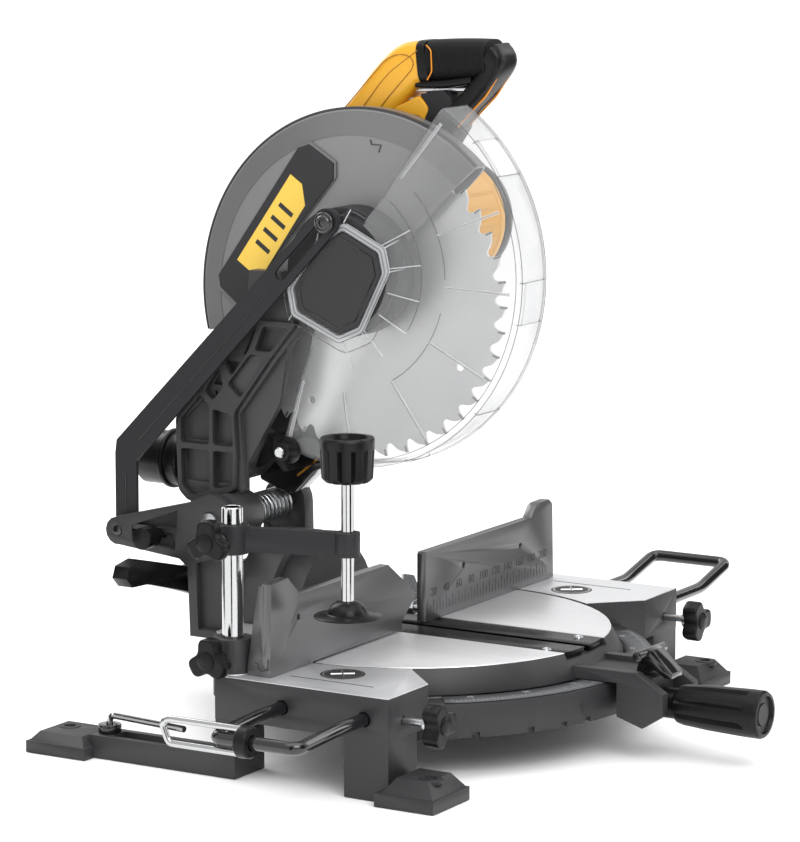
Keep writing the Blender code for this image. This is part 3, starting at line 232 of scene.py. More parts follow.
# Black print; the fence's end slot and the motor's vents are marked in the same black, painted shade standing
# in for their openings.
PRINT_AND_OPENING_SHADE = surface("printed_black_and_opening_shade", (0.02, 0.02, 0.02), 0.5, grain=0.0)
PRINT_LIGHT = surface("printed_light", (0.35, 0.36, 0.37), 0.5, grain=0.0)
COPPER = surface("copper", (0.6, 0.27, 0.12), 0.3, metallic=0.9)
CLEAR = clear_plastic("clear_polycarbonate", (0.42, 0.425, 0.43), 0.17, 0.5)
# Dark lines along the clear guard's edges and ribs: painted shade for the darkening that refraction gives
# there.
CLEAR_EDGE_PAINTED_SHADE = clear_plastic("clear_edge_painted_shade", (0.16, 0.165, 0.17), 0.5, 0.85)
CLEAR_THICK = clear_plastic("clear_thick", (0.78, 0.79, 0.8), 0.32, 0.75)
BASE_METAL = machined("base_casting_finish", (1.5, 240, 1))
TABLE_METAL = machined("table_finish", (240, 1.5, 1))


# ---------------------------------------------------------------- mesh helpers

def place(point):
    """A point in the frame's own metres."""
    return Vector(point) * MM + ORIGIN


def polar(centre, radius, angle):
    return (centre[0] + radius * cos(radians(angle)), centre[1] + radius * sin(radians(angle)))


def arc(centre, radius, start, end, count):
    return [polar(centre, radius, start + (end - start) * i / (count - 1)) for i in range(count)]


def ring(centre, radius, count):
    return [polar(centre, radius, 360 * i / count) for i in range(count)]


def add_object(name, data):
    obj = bpy.data.objects.new(name, data)
    bpy.context.scene.collection.objects.link(obj)
    return obj


def mesh_object(name, shape):
    mesh = bpy.data.meshes.new(name)
    shape.to_mesh(mesh)
    shape.free()
    return add_object(name, mesh)


def solid(name, shape):
    bmesh.ops.recalc_face_normals(shape, faces=shape.faces)
    return mesh_object(name, shape)


def cover(obj, material):
    obj.data.materials.clear()
    obj.data.materials.append(material)
    for polygon in obj.data.polygons:
        polygon.use_smooth = True


def round_edges(obj, width, angle):
    edge = obj.modifiers.new("rounded", "BEVEL")
    edge.width = width * MM
    edge.segments = 2
    edge.limit_method = "ANGLE"
    edge.angle_limit = radians(angle)
    edge.harden_normals = True


def finish_mesh(obj, body, material, bevel=0.0, angle=35):
    cover(obj, material)
    if bevel:
        round_edges(obj, bevel, angle)
    else:
        obj.data.set_sharp_from_angle(angle=radians(angle))
    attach(obj, body)
    return obj


def dress(node, material, bevel, angle=40):
    """Give a CAD node its finish and soften its edges."""
    obj = frame["nodes"][node]
    cover(obj, material)
    weld = obj.modifiers.new("weld", "WELD")
    weld.merge_threshold = 1e-6
    if bevel:
        round_edges(obj, bevel, angle)


def to_mesh(obj):
    """Turn a curve into a welded mesh object of the same name."""
    bpy.context.view_layer.update()
    evaluated = obj.evaluated_get(bpy.context.evaluated_depsgraph_get())
    mesh = bpy.data.meshes.new_from_object(evaluated)
    mesh.transform(obj.matrix_world)
    name = obj.name
    bpy.data.objects.remove(obj, do_unlink=True)
    shape = bmesh.new()
    shape.from_mesh(mesh)
    bmesh.ops.remove_doubles(shape, verts=shape.verts, dist=1e-6)
    shape.to_mesh(mesh)
    shape.free()
    return add_object(name, mesh)


def new_curve(name, dimensions, lines, cyclic, depth, resolution):
    curve = bpy.data.curves.new(name, "CURVE")
    curve.dimensions = dimensions
    curve.bevel_depth = depth * MM
    curve.bevel_resolution = resolution
    for points in lines:
        line = curve.splines.new("POLY")
        line.points.add(len(points) - 1)
        for point, position in zip(line.points, points):
            point.co = (*position, 1)
        line.use_cyclic_u = cyclic
    return curve


PLANES = {
    "YZ": Matrix(((0, 0, 1, 0), (1, 0, 0, 0), (0, 1, 0, 0), (0, 0, 0, 1))),
    "XZ": Matrix(((1, 0, 0, 0), (0, 0, -1, 0), (0, 1, 0, 0), (0, 0, 0, 1))),
    "XY": Matrix.Identity(4),
}


def plate(name, outlines, plane, start, end, body, material, round_off=0.6):
    """A flat piece with holes and softly rounded edges, between two levels of the plane."""
    lines = [[(u * MM, v * MM, 0) for u, v in outline] for outline in outlines]
    curve = new_curve(name, "2D", lines, True, round_off, 1)
    curve.fill_mode = "BOTH"
    curve.extrude = (abs(end - start) / 2 - round_off) * MM
    curve.offset = -round_off * MM
    obj = add_object(name, curve)
    middle = (start + end) / 2 * MM
    lift = Matrix.Translation((0, 0, -middle if plane == "XZ" else middle))
    obj.matrix_world = Matrix.Translation(ORIGIN) @ PLANES[plane] @ lift
    flat = finish_mesh(to_mesh(obj), body, material)
    normal = PLANES[plane].to_3x3() @ Vector((0, 0, 1))
    for polygon in flat.data.polygons:
        if abs(polygon.normal.dot(normal)) > 0.999:
            polygon.use_smooth = False
    return flat


def wire(name, points, radius, body, material, resolution=4, cyclic=False):
    """A round wire or a fine raised line along a path."""
    curve = new_curve(name, "3D", [[place(point) for point in points]], cyclic, radius, resolution)
    curve.use_fill_caps = not cyclic
    return finish_mesh(to_mesh(add_object(name, curve)), body, material)


AXES = {"X": (Vector((1, 0, 0)), Vector((0, 1, 0)), Vector((0, 0, 1))),
        "Y": (Vector((0, 1, 0)), Vector((0, 0, 1)), Vector((1, 0, 0))),
        "Z": (Vector((0, 0, 1)), Vector((1, 0, 0)), Vector((0, 1, 0)))}


def revolve(profile, centre, axes, steps, start=0.0, end=360.0, closed=True):
    """Turn (radius, height) points about an axis, a whole turn or from start to end degrees."""
    along, first, second = axes
    whole = end - start >= 359.9
    count = steps if whole else steps + 1
    shape = bmesh.new()
    rings = []
    for i in range(count):
        turn = radians(start + (end - start) * i / steps)
        outward = first * cos(turn) + second * sin(turn)
        row = []
        for index, (radius, height) in enumerate(profile):
            if radius == 0 and rings:
                row.append(rings[0][index])
            else:
                row.append(shape.verts.new(place(centre + outward * radius + along * height)))
        rings.append(row)
    for i in range(count if whole else count - 1):
        here, there = rings[i], rings[(i + 1) % count]
        for a in range(len(profile) if closed else len(profile) - 1):
            b = (a + 1) % len(profile)
            corners = list(dict.fromkeys((here[a], here[b], there[b], there[a])))
            if len(corners) > 2:
                shape.faces.new(corners)
    if not whole and closed:
        shape.faces.new(rings[0])
        shape.faces.new(rings[-1][::-1])
    return shape


def lathe(name, profile, centre, axis, body, material, steps=96, start=0.0, end=360.0,
          closed=True, angle=35):
    shape = revolve(profile, Vector(centre), AXES[axis], steps, start, end, closed)
    return finish_mesh(solid(name, shape), body, material, angle=angle)


def rod(name, start, end, radius, body, material, steps=48, chamfer=0.6, bore=0.0):
    """A round bar with softened ends, or a tube when it has a bore."""
    span = Vector(end) - Vector(start)
    length = span.length
    across, up, along = span.normalized().to_track_quat("Z", "Y").to_matrix().col
    profile = [(0, 0), (radius - chamfer, 0), (radius, chamfer), (radius, length - chamfer),
               (radius - chamfer, length), (0, length)]
    if bore:
        profile[0] = (bore + 0.4, 0)
        profile[-1] = (bore + 0.4, length)
        profile = [(bore, 0.4)] + profile + [(bore, length - 0.4)]
    shape = revolve(profile, Vector(start), (along, across, up), steps, closed=bool(bore))
    return finish_mesh(solid(name, shape), body, material)


def block(name, low, high, body, material, bevel=1.0):
    """A rounded box."""
    low, high = place(low), place(high)
    shape = bmesh.new()
    add_bar(shape, Matrix.Translation((low + high) / 2) @ Matrix.Diagonal((*(high - low), 1)))
    return finish_mesh(solid(name, shape), body, material, bevel)


def add_bar(shape, matrix):
    """Add a unit cube, sized and placed by the matrix, to a mesh that holds many."""
    corners = bmesh.ops.create_cube(shape, size=1.0)["verts"]
    bmesh.ops.transform(shape, verts=corners, matrix=matrix)


def loft(name, sections, body, material, angle):
    """Skin a row of equal closed sections and cap both ends."""
    shape = bmesh.new()
    rows = [[shape.verts.new(place(point)) for point in section] for section in sections]
    for here, there in zip(rows, rows[1:]):
        for i in range(len(here)):
            j = (i + 1) % len(here)
            shape.faces.new((here[i], here[j], there[j], there[i]))
    shape.faces.new(rows[0])
    shape.faces.new(rows[-1][::-1])
    return finish_mesh(solid(name, shape), body, material, angle=angle)


def curved_corner(before, corner, after, reach_in, reach_out, steps):
    """Points that round one corner of a path, from reach_in before it to reach_out after it."""
    inward = (before - corner).normalized() * reach_in
    outward = (after - corner).normalized() * reach_out
    fractions = [k / steps for k in range(steps + 1)]
    return [corner + inward * (1 - t) ** 2 + outward * t ** 2 for t in fractions]


def bent(points, radius, steps=8):
    """Round the corners of a path with smooth curves."""
    points = [Vector(point) for point in points]
    path = [points[0]]
    for before, corner, after in zip(points, points[1:], points[2:]):
        path += curved_corner(before, corner, after, radius, radius, steps)
    return path + [points[-1]]


def rounded(outline, radius, steps=5):
    """Round the corners of a flat closed outline."""
    result = []
    points = [Vector(point) for point in outline]
    for i, corner in enumerate(points):
        before, after = points[i - 1], points[(i + 1) % len(points)]
        reach_in = min(radius, (before - corner).length * 0.45)
        reach_out = min(radius, (after - corner).length * 0.45)
        result += [tuple(p) for p in curved_corner(before, corner, after, reach_in, reach_out, steps)]
    return result


def label(name, text, position, size, plane, body, material, turn=0.0):
    """Flat printed figures."""
    curve = bpy.data.curves.new(name, "FONT")
    curve.body = text
    curve.size = size * MM
    curve.extrude = 0.05 * MM
    curve.align_x = "CENTER"
    curve.align_y = "CENTER"
    obj = add_object(name, curve)
    turned = Matrix.Rotation(radians(turn), 4, "Z")
    upright = Matrix.Rotation(pi / 2, 4, "X") if plane == "XZ" else Matrix.Identity(4)
    obj.matrix_world = Matrix.Translation(place(position)) @ upright @ turned
    return finish_mesh(to_mesh(obj), body, material)


# ---------------------------------------------------------------- base and fences

def dress_frame():
    """CAD nodes whose shape is right keep it, with softer edges and real finishes."""
    finishes = {
        "base_casting": (BASE_METAL, 0.9), "turntable": (TABLE_METAL, 0.7),
        "mitre_scale_plate": (SCALE_GREY, 0.0), "fence_left": (FENCE, 0.5), "fence_right": (FENCE, 0.5),
        "turntable_pivot_bolt": (STEEL, 0.4), "leg_screw": (GLOSS_BLACK, 0.4),
        "clamp_arm": (CAST_FINE, 0.9),
        "kerf_insert_left": (BLACK, 0.4), "kerf_insert_right": (BLACK, 0.4),
        "bevel_pivot_bolt": (STEEL, 0.4), "bevel_pivot_nut": (STEEL, 0.6),
        "mitre_lock_screw": (STEEL, 0.0), "detent_lever": (GLOSS_BLACK, 1.6),
        "bevel_arm": (CAST, 1.2), "head_pivot_shaft": (STEEL, 0.5), "bevel_lock_lever": (BLACK, 1.6),
        "head_lock_pin": (BLACK, 0.6), "head_arm": (HEAD_CAST_PAINTED_HIGHLIGHT, 0.8), "gearbox_housing": (CAST, 1.2),
        "motor_stator": (STEEL, 0.4), "motor_armature": (COPPER, 0.4), "motor_fan": (BLACK, 0.3),
        "dust_port": (BLACK, 0.4), "dust_chute": (BLACK, 0.8), "guard_stop_bumper": (BLACK, 0.6),
        "guard_hub": (DARK_PLATE, 0.4), "spindle": (STEEL, 0.3), "inner_flange": (STEEL, 0.4),
        "outer_flange": (STEEL, 0.4), "arbor_bolt": (STEEL, 0.5), "driven_gear": (STEEL, 0.4),
        "link_top_bolt": (GLOSS_BLACK, 0.4), "link_foot_pin": (GLOSS_BLACK, 0.4),
    }
    for node, (material, bevel) in finishes.items():
        dress(node, material, bevel)


def fence_scale():
    """Ticks every 5 mm and figures every 20 mm along the right fence."""
    face, foot, half_width, ink = -7.45, 84.0, 0.28, 0.08
    marks = bmesh.new()
    for value in range(10, 206, 5):
        tall = 10.5 if value % 10 == 0 else 6.5
        low = place((value - half_width, face - ink, foot))
        high = place((value + half_width, face, foot + tall))
        add_bar(marks, Matrix.Translation((low + high) / 2) @ Matrix.Diagonal((*(high - low), 1)))
    finish_mesh(solid("fence_scale_ticks", marks), "base", PRINT_AND_OPENING_SHADE)
    for value in range(20, 201, 20):
        label(f"fence_figure_{value}", str(value), (value, face - 0.03, 100.5), 9.5, "XZ", "base", PRINT_AND_OPENING_SHADE)


def wing_details():
    """Sighting grooves and round hold-down marks on both wings."""
    for side in (-1, 1):
        name = "left" if side < 0 else "right"
        block(f"{name}_wing_line", (side * 205 - 0.6, -88, TABLE_TOP),
              (side * 205 + 0.6, -16, TABLE_TOP + 0.12), "base", PRINT_AND_OPENING_SHADE, 0.0)
        centre = (side * 180, -46, TABLE_TOP)
        lathe(f"{name}_wing_disc", [(0, 0.12), (17, 0.12), (17, 0), (0, 0)], centre, "Z", "base", PRINT_AND_OPENING_SHADE,
              48, closed=False)
        lathe(f"{name}_wing_ring", [(15.6, 0.12), (15.6, 0.3), (14.2, 0.3), (14.2, 0.12)], centre, "Z",
              "base", CHROME, 48)
        for turn in (35, 125):
            ends = [(*polar(centre, reach, turn), TABLE_TOP + 0.25) for reach in (-9, 9)]
            wire(f"{name}_wing_mark_{turn}", ends, 0.9, "base", CHROME, 2)


def scale_label():
    """Degree ticks and figures round the mitre scale."""
    top, outer, figure_radius = 58.2, 186.5, 174.5
    marks = bmesh.new()
    for degree in range(-50, 51):
        long = 6.5 if degree % 5 == 0 else 3.5
        centre = (*polar((0, 0), outer - long / 2, degree - 90), top)
        turn = Matrix.Rotation(radians(degree - 90), 4, "Z")
        size = Matrix.Diagonal((long * MM, 0.35 * MM, 0.12 * MM, 1))
        add_bar(marks, Matrix.Translation(place(centre)) @ turn @ size)
    finish_mesh(solid("mitre_scale_ticks", marks), "base", PRINT_LIGHT)
    for degree in range(-45, 46, 15):
        spot = (*polar((0, 0), figure_radius, degree - 90), top)
        label(f"mitre_figure_{degree + 45}", str(abs(degree)), spot, 6.0, "XY", "base", PRINT_LIGHT,
              degree)


def small_fittings():
    """Screws of the kerf inserts and feet, the bracket behind the fences and the fence's end slot."""
    for index, (x, y) in enumerate(((24.7, -135.7), (-27.2, -135.6))):
        lathe(f"insert_screw_{index}", [(0, 0.5), (2.2, 0.5), (2.6, 1.0), (3.6, 0.9), (4.0, 0), (0, 0)],
              (x, y, 77.3), "Z", "turntable", STEEL, 24, closed=False)
    bush = [(4.6, -3), (4.6, 0.5), (8.2, 0.5), (9.4, -0.6), (9.4, -3)]
    for side, sign in (("left", -1), ("right", 1)):
        for name, x, y, z in (("front", 224, -148, 21), ("rear", 212, 182, 16)):
            lathe(f"{name}_foot_bush_{side}", bush, (sign * x, y, z), "Z", "base", CAST_FINE, 32)
    plate("kerf_bracket", [rounded([(9, 86), (9, 115), (26, 111), (38, 92), (34, 84)], 2)], "XZ", 14, 16,
          "base", EDGE_METAL, 0.4)
    rod("kerf_bracket_screw", (18, 8, 87), (18, 20, 87), 6.5, "base", EDGE_METAL, 6, 0.6)
    rod("kerf_bracket_stud", (18, 4, 87), (18, 24, 87), 3.2, "base", STEEL, 24, 0.5)
    # A dark outline of the fence's T-slot in its end: painted shade of the opening.
    slot_mark = [(-221.1, y, z) for y, z in ((-6.4, 92), (-6.0, 84), (-1.4, 82.6), (2.4, 84), (2.6, 88),
                                             (5.6, 88.4))]
    wire("fence_end_slot", slot_mark, 0.5, "sliding_fence", PRINT_AND_OPENING_SHADE, 1)


# ---------------------------------------------------------------- extension bars and knobs

def bar_path(side, out, rise):
    """A U-shaped support bar that steps up or down by rise near its outer end."""
    height, front, rear, inner, crank = 60.0, -96.0, -25.0, 186.0, out - 52
    return bent([(side * inner, front, height), (side * crank, front, height),
                 (side * out, front, height + rise), (side * out, rear, height + rise),
                 (side * crank, rear, height), (side * inner, rear, height)], 9)


def lobed_knob(name, centre, axis, radius, thickness, body, node, stud_to):
    """A three-lobed knob with a domed boss and a steel stud."""
    outline = []
    for i in range(3):
        middle = 120 * i + 90
        for offset, size in ((-30, 0.9), (-15, 1.0), (15, 1.0), (30, 0.9), (60, 0.52)):
            outline.append(polar((0, 0), radius * size, middle + offset))
    outline = rounded(outline, radius * 0.28, 6)
    knob = plate(name, [outline], "XY", -thickness / 2, thickness / 2, body, BLACK, 1.8)
    along, first, second = AXES[axis]
    turn = Matrix((first, second, along)).transposed().to_4x4()
    move = Matrix.Translation(place(centre)) @ turn @ Matrix.Translation(-ORIGIN)
    knob.data.transform(move)
    centre, stud_to = Vector(centre), Vector(stud_to)
    sign = 1 if stud_to.dot(along) > centre.dot(along) else -1
    inward, half = along * sign, thickness / 2
    boss = [(radius, sign * height) for radius, height in ((0, -2.0), (4.5, -2.0), (7.0, -0.8), (7.6, 1.5),
                                                           (0, 1.5))]
    lathe(name + "_boss", boss, centre - inward * half, axis, body, BLACK, 40, closed=False)
    rod(name + "_collar", centre + inward * (half - 0.5), centre + inward * (half + 4.0), 6.8, body, STEEL,
        32)
    rod(name + "_stud", centre + inward * (half + 3), stud_to, 2.9, body, STEEL, 24)
    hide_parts(node)


def side_supports():
    """The bent support bars with their lock knobs, the flip-up wire stop and the stored hex key."""
    for side, out, rise in ((-1, 322.0, -3.0), (1, 371.0, 12.75)):
        name = "left" if side < 0 else "right"
        bar = wire(name + "_support_rod", bar_path(side, out, rise), 5.0, name + "_bar", GLOSS_BLACK,
                   5)
        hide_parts(name + "_extension_bar")
        lobed_knob(name + "_lock_knob", (side * 210, -146, 57.5), "Y", 17.5, 13, name + "_bar_lock",
                   name + "_bar_lock_knob", (side * 210, -101.8, 57.5))
    stop = wire("stop_loop", bent([(-322, -56, 66), (-322, 14, 66), (-322, 20, 62), (-322, 14, 48),
                                   (-322, -56, 48)], 4), 2.6, "work_stop", CHROME, 4)
    rod("stop_clip", (-322, -58, 57), (-322, -48, 57), 11.8, "work_stop", BLACK, 40, 1.2, 5.6)
    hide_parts("work_stop")
    key = wire("stored_hex_key", bent([(-217, 141, 20), (-217, 141, 31), (-226, 66, 31)], 6), 2.5, "base",
               CHROME, 3)
    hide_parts("hex_key")


# ---------------------------------------------------------------- clamp

def clamp_pieces():
    """Post, screw, swivel foot and fluted knob of the hold-down clamp, with its two lock knobs."""
    post_x, post_y, screw_x, screw_y = -213.0, 30.0, -189.0, -56.0
    post = rod("chrome_post", (post_x, post_y, 80.4), (post_x, post_y, 203), 8.0, "clamp_post", CHROME,
               64, 0.8, 6.0)
    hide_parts("clamp_post")
    screw = rod("chrome_screw", (screw_x, screw_y, 133), (screw_x, screw_y, 232), 4.8, "clamp_screw",
                CHROME, 48)
    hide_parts("clamp_screw")
    dome = [(0, 136.4), (5.6, 136.4), (8.2, 135.6), (12.2, 133.0), (14.6, 129.6), (15.4, 127.2),
            (17, 126.3), (24.6, 125.5), (25.4, 124.9), (25.2, 124.2), (24.4, 124.0), (0, 124.0)]
    foot = lathe("clamp_swivel_foot", dome, (screw_x, screw_y, 0), "Z", "clamp_screw", BLACK,
                 64, closed=False)
    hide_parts("clamp_foot")
    outline = []
    for i in range(12):
        outline += arc((0, 0), 20.5, 30 * i - 9.5, 30 * i + 9.5, 6)
        outline.append(polar((0, 0), 17.9, 30 * i + 15))
    sections = []
    for height, scale in ((226, 0.80), (228, 0.9), (229, 0.94), (250, 0.985)):
        sections.append([(screw_x + x * scale, screw_y + y * scale, height) for x, y in outline])
    smooth_circle = [Vector(point).normalized() for point in outline]
    for height, radius in ((251.5, 20.5), (257.5, 20.5), (259, 19.6), (259.2, 15.2), (255.5, 14.0),
                           (255.2, 2.0)):
        sections.append([(screw_x + p.x * radius, screw_y + p.y * radius, height) for p in smooth_circle])
    knob = loft("fluted_knob", sections, "clamp_screw", BLACK, 30)
    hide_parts("clamp_knob")
    for name, body, node, height in (("post_knob", "post_lock", "post_lock_knob", 92),
                                     ("arm_knob", "arm_lock", "clamp_arm_lock_knob", 181)):
        lobed_knob(name, (-244, post_y, height), "X", 17, 12, body, node, (-221.6, post_y, height))


# ---------------------------------------------------------------- mitre lock handle

def mitre_handle():
    """The fluted handle at the end of the mitre arm, with a collar and a ringed end face."""
    axis_z = 41.5
    outline = []
    for i in range(8):
        middle = 45 * i
        outline += arc((0, 0), 1.0, middle - 14, middle + 14, 6)
        outline.append(polar((0, 0), 0.86, middle + 22.5))
    circle = [Vector(point).normalized() for point in outline]
    sections = []
    for y, radius, fluted in ((-223.5, 10.5, 0), (-224.5, 12, 0), (-235.5, 12, 0), (-236.5, 13.2, 0),
                              (-238, 14.6, 0), (-242, 15.6, 1), (-262, 17.2, 1), (-294, 18.4, 1),
                              (-298, 18.5, 0), (-306.5, 18.5, 0), (-308.6, 17.2, 0), (-309, 14.6, 0),
                              (-306.5, 13.6, 0), (-306, 9, 0), (-307, 8.4, 0), (-307, 1, 0)):
        shape = outline if fluted else circle
        sections.append([(p[0] * radius, y, axis_z + p[1] * radius) for p in shape])
    handle = loft("fluted_handle", sections, "mitre_lock", BLACK, 28)
    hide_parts("mitre_lock_handle")


# ---------------------------------------------------------------- blade and guards

def saw_blade():
    """Forty carbide teeth, gullets and four round holes on a thin steel disc."""
    teeth, radius = 40, 127.3
    outline = []
    pitch = 360 / teeth
    for i in range(teeth):
        start = i * pitch
        for part, depth in ((0.0, 0), (0.08, 0.3), (0.42, 3.4), (0.55, 6.2), (0.66, 8.8), (0.78, 9.8),
                            (0.9, 9.0), (0.97, 6.0)):
            outline.append(polar(ARBOR_YZ, radius - depth, start + part * pitch))
    holes = [ring(ARBOR_YZ, 15.3, 40)]
    for i in range(4):
        holes.append(ring(polar(ARBOR_YZ, 100, 90 * i + 30), 3.2, 16))
    blade = plate("blade_disc", [outline] + holes, "YZ", -1.0, 1.0, "spindle", BLADE, 0.12)
    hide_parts("saw_blade")
    tips = bmesh.new()
    for i in range(teeth):
        turn = Matrix.Rotation(radians(i * pitch), 4, "X")
        outward = Matrix.Translation((0, (radius - 2.6) * MM, 0.9 * MM))
        size = Matrix.Diagonal((2.5 * MM, 5.5 * MM, 1.5 * MM, 1))
        add_bar(tips, Matrix.Translation(place(ARBOR)) @ turn @ outward @ size)
    finish_mesh(solid("blade_tips", tips), "spindle", CARBIDE)


def grown(outline, factor):
    """The same outline, larger or smaller about the mean of its corners."""
    middle = sum((Vector(p) for p in outline), Vector((0, 0))) / len(outline)
    return [tuple(middle + (Vector(p) - middle) * factor) for p in outline]


def upper_guard():
    """The fixed grey blade housing with its pressed rim and dark lip; a darker grey band on the rim's slope
    is painted shade.
    """
    centre = (0, *ARBOR_YZ)
    profile = [(26, -13.2), (127.0, -13.2), (128.6, -12.9), (131, -11.2), (147.6, -6.6), (149.3, -5.2),
               (149.6, -3.2), (149.6, 7.4), (148.6, 9.4), (142, 13.2), (26, 13.2), (26, 11.2), (139.5, 11.2),
               (147, 7), (147, -4.6), (129, -9.6), (126.4, -11.2), (26, -11.2)]
    shell = lathe("guard_shell", profile, centre, "X", "head", GUARD_GREY, 144, -14, 134,
                  angle=50)
    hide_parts("upper_guard")
    lip = [(149.9, -6.4), (149.9, -3.4), (148.0, -3.4), (148.0, -6.6)]
    lathe("guard_lip", lip, centre, "X", "head", GUARD_LIP, 144, -13.6, 133.6)
    # A thin darker band over the rim's slope: painted shade.
    rim_painted_shade = [(128.2, -13.32), (146.6, -7.15), (146.6, -6.9), (128.2, -13.0)]
    lathe("guard_rim_painted_shade", rim_painted_shade, centre, "X", "head", GUARD_RIM_SHADE_AND_FRAME, 144, -13.8, 133.8)
    badge = [(96, 452.5), (86, 455.7), (63.3, 441.8), (63.3, 429.2), (153, 324), (170.4, 337.8),
             (171.8, 347.5)]
    face = plate("badge_face", [badge], "YZ", -16.6, -13.9, "head", DARK_PLATE, 0.5)
    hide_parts("badge_plate")
    plate("badge_frame", [grown(badge, 1.035), badge], "YZ", -15.4, -13.2, "head", GUARD_RIM_SHADE_AND_FRAME,
          0.3)
    sticker = [(102.6, 431.5), (91.9, 424.1), (89.1, 407.3), (132, 345.7), (153.5, 360.7)]
    plate("badge_sticker", [sticker], "YZ", -17.0, -16.55, "head", STICKER, 0.15)
    down = Vector((0.585, -0.813))
    across = Vector((0.813, 0.585)) * 7.5
    for i in range(4):
        base = Vector((107, 403)) + down * 12.5 * i
        half = down * 1.9
        bar = [tuple(base + p) for p in (across + half, across - half, -across - half, -across + half)]
        plate(f"badge_stripe_{i}", [bar], "YZ", -17.15, -16.95, "head", PRINT_AND_OPENING_SHADE, 0.05)
    mark = [(-13.4, 30.5, 461.5), (-13.4, 29.8, 458), (-13.4, 21, 457.7), (-13.4, 23.2, 452.1)]
    wire("guard_pressed_mark", mark, 0.6, "head", GUARD_LIP, 2)


def clear_line(name, points, radius, material=CLEAR_EDGE_PAINTED_SHADE, cyclic=False):
    """A fine line along an edge or a rib of the clear guard, dark by default: painted shade where refraction
    darkens the plastic.
    """
    wire(name, points, radius, "lower_guard", material, 1, cyclic)


def lower_guard():
    """The clear swinging guard: stepped wall, ribbed rim and raised octagonal hub."""
    centre = (0, *GUARD_YZ)
    first, last = 123, 293
    profile = [(155, 6.6), (154.8, -28.4), (154.0, -30.2), (152.2, -31.0), (93.6, -41.0), (91.6, -41.4),
               (76.0, -41.4), (72.4, -42.4), (55.6, -48.4), (53.6, -48.9), (46.2, -48.9), (46.2, -46.9),
               (53.0, -46.9), (55.0, -46.5), (71.6, -40.6), (75.4, -39.5), (91.2, -39.5), (93.2, -39.1),
               (151.6, -29.2), (152.7, -28.2), (152.9, 6.6)]
    shell = lathe("clear_shell", profile, centre, "X", "lower_guard", CLEAR, 160, first, last,
                  angle=50)
    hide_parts("lower_guard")
    lip = [(156.0, 3.6), (156.0, 6.9), (154.6, 6.9), (154.6, 3.6)]
    lathe("clear_rim_lip", lip, centre, "X", "lower_guard", CLEAR, 120, first + 0.4,
          last - 0.4)
    lines = {"near_edge": (155.0, -29.6, first, last), "far_edge": (155.9, 6.4, first, last),
             "rim_crease": (149.6, -29.6, 150, 262), "step_high": (93.6, -41.2, 135, 180),
             "step_low": (93.6, -41.2, 196, 240), "boss_edge": (73.5, -42.2, 128, 214)}
    for name, (radius, x, start, end) in lines.items():
        clear_line(f"clear_{name}", [(x, y, z) for y, z in arc(GUARD_YZ, radius, start, end, 64)], 0.32)
    for index, angle in enumerate((137, 149, 180, 192, 222, 250, 276)):
        inner, outer = polar(GUARD_YZ, 153.4, angle), polar(GUARD_YZ, 156.1, angle)
        clear_line(f"clear_rim_rib_{index}",
                   bent([(-31.0, *inner), (-29.4, *outer), (4, *outer), (6, *inner)], 1.5, 3), 0.4)
    for start, end in ((137, 149), (180, 192)):
        lathe(f"clear_rim_pad_{start}", [(156.6, -26), (156.6, -2), (155.0, -2), (155.0, -26)], centre, "X",
              "lower_guard", CLEAR_THICK, 12, start, end)
    for index, angle in enumerate((125.2, 158, 183, 211, 240, 268, 290.8)):
        lathe(f"clear_wall_rib_{index}", [(94, -42.4), (146, -33.6), (146, -32.0), (94, -40.9)], centre, "X",
              "lower_guard", CLEAR_THICK, 2, angle, angle + 1.0)
        tip, root = polar(GUARD_YZ, 146, angle + 0.5), polar(GUARD_YZ, 94.5, angle + 0.5)
        clear_line(f"clear_wall_line_{index}", [(-42.5, *root), (-33.7, *tip)], 0.26)
    for index, angle in enumerate((150, 172, 194, 216, 238, 262)):
        tip, root = polar(GUARD_YZ, 74.0, angle), polar(GUARD_YZ, 49.5, angle)
        clear_line(f"clear_boss_rib_{index}", [(-50.2, *root), (-43.0, *tip)], 0.55, CLEAR_THICK)
    section = [(50, -49.4), (72, -42.8), (92, -41.6), (153, -31), (155, -28), (155, 6.4)]
    for name, angle in (("top", first), ("foot", last)):
        clear_line(f"clear_end_{name}", [(x, *polar(GUARD_YZ, radius, angle)) for radius, x in section], 0.45)


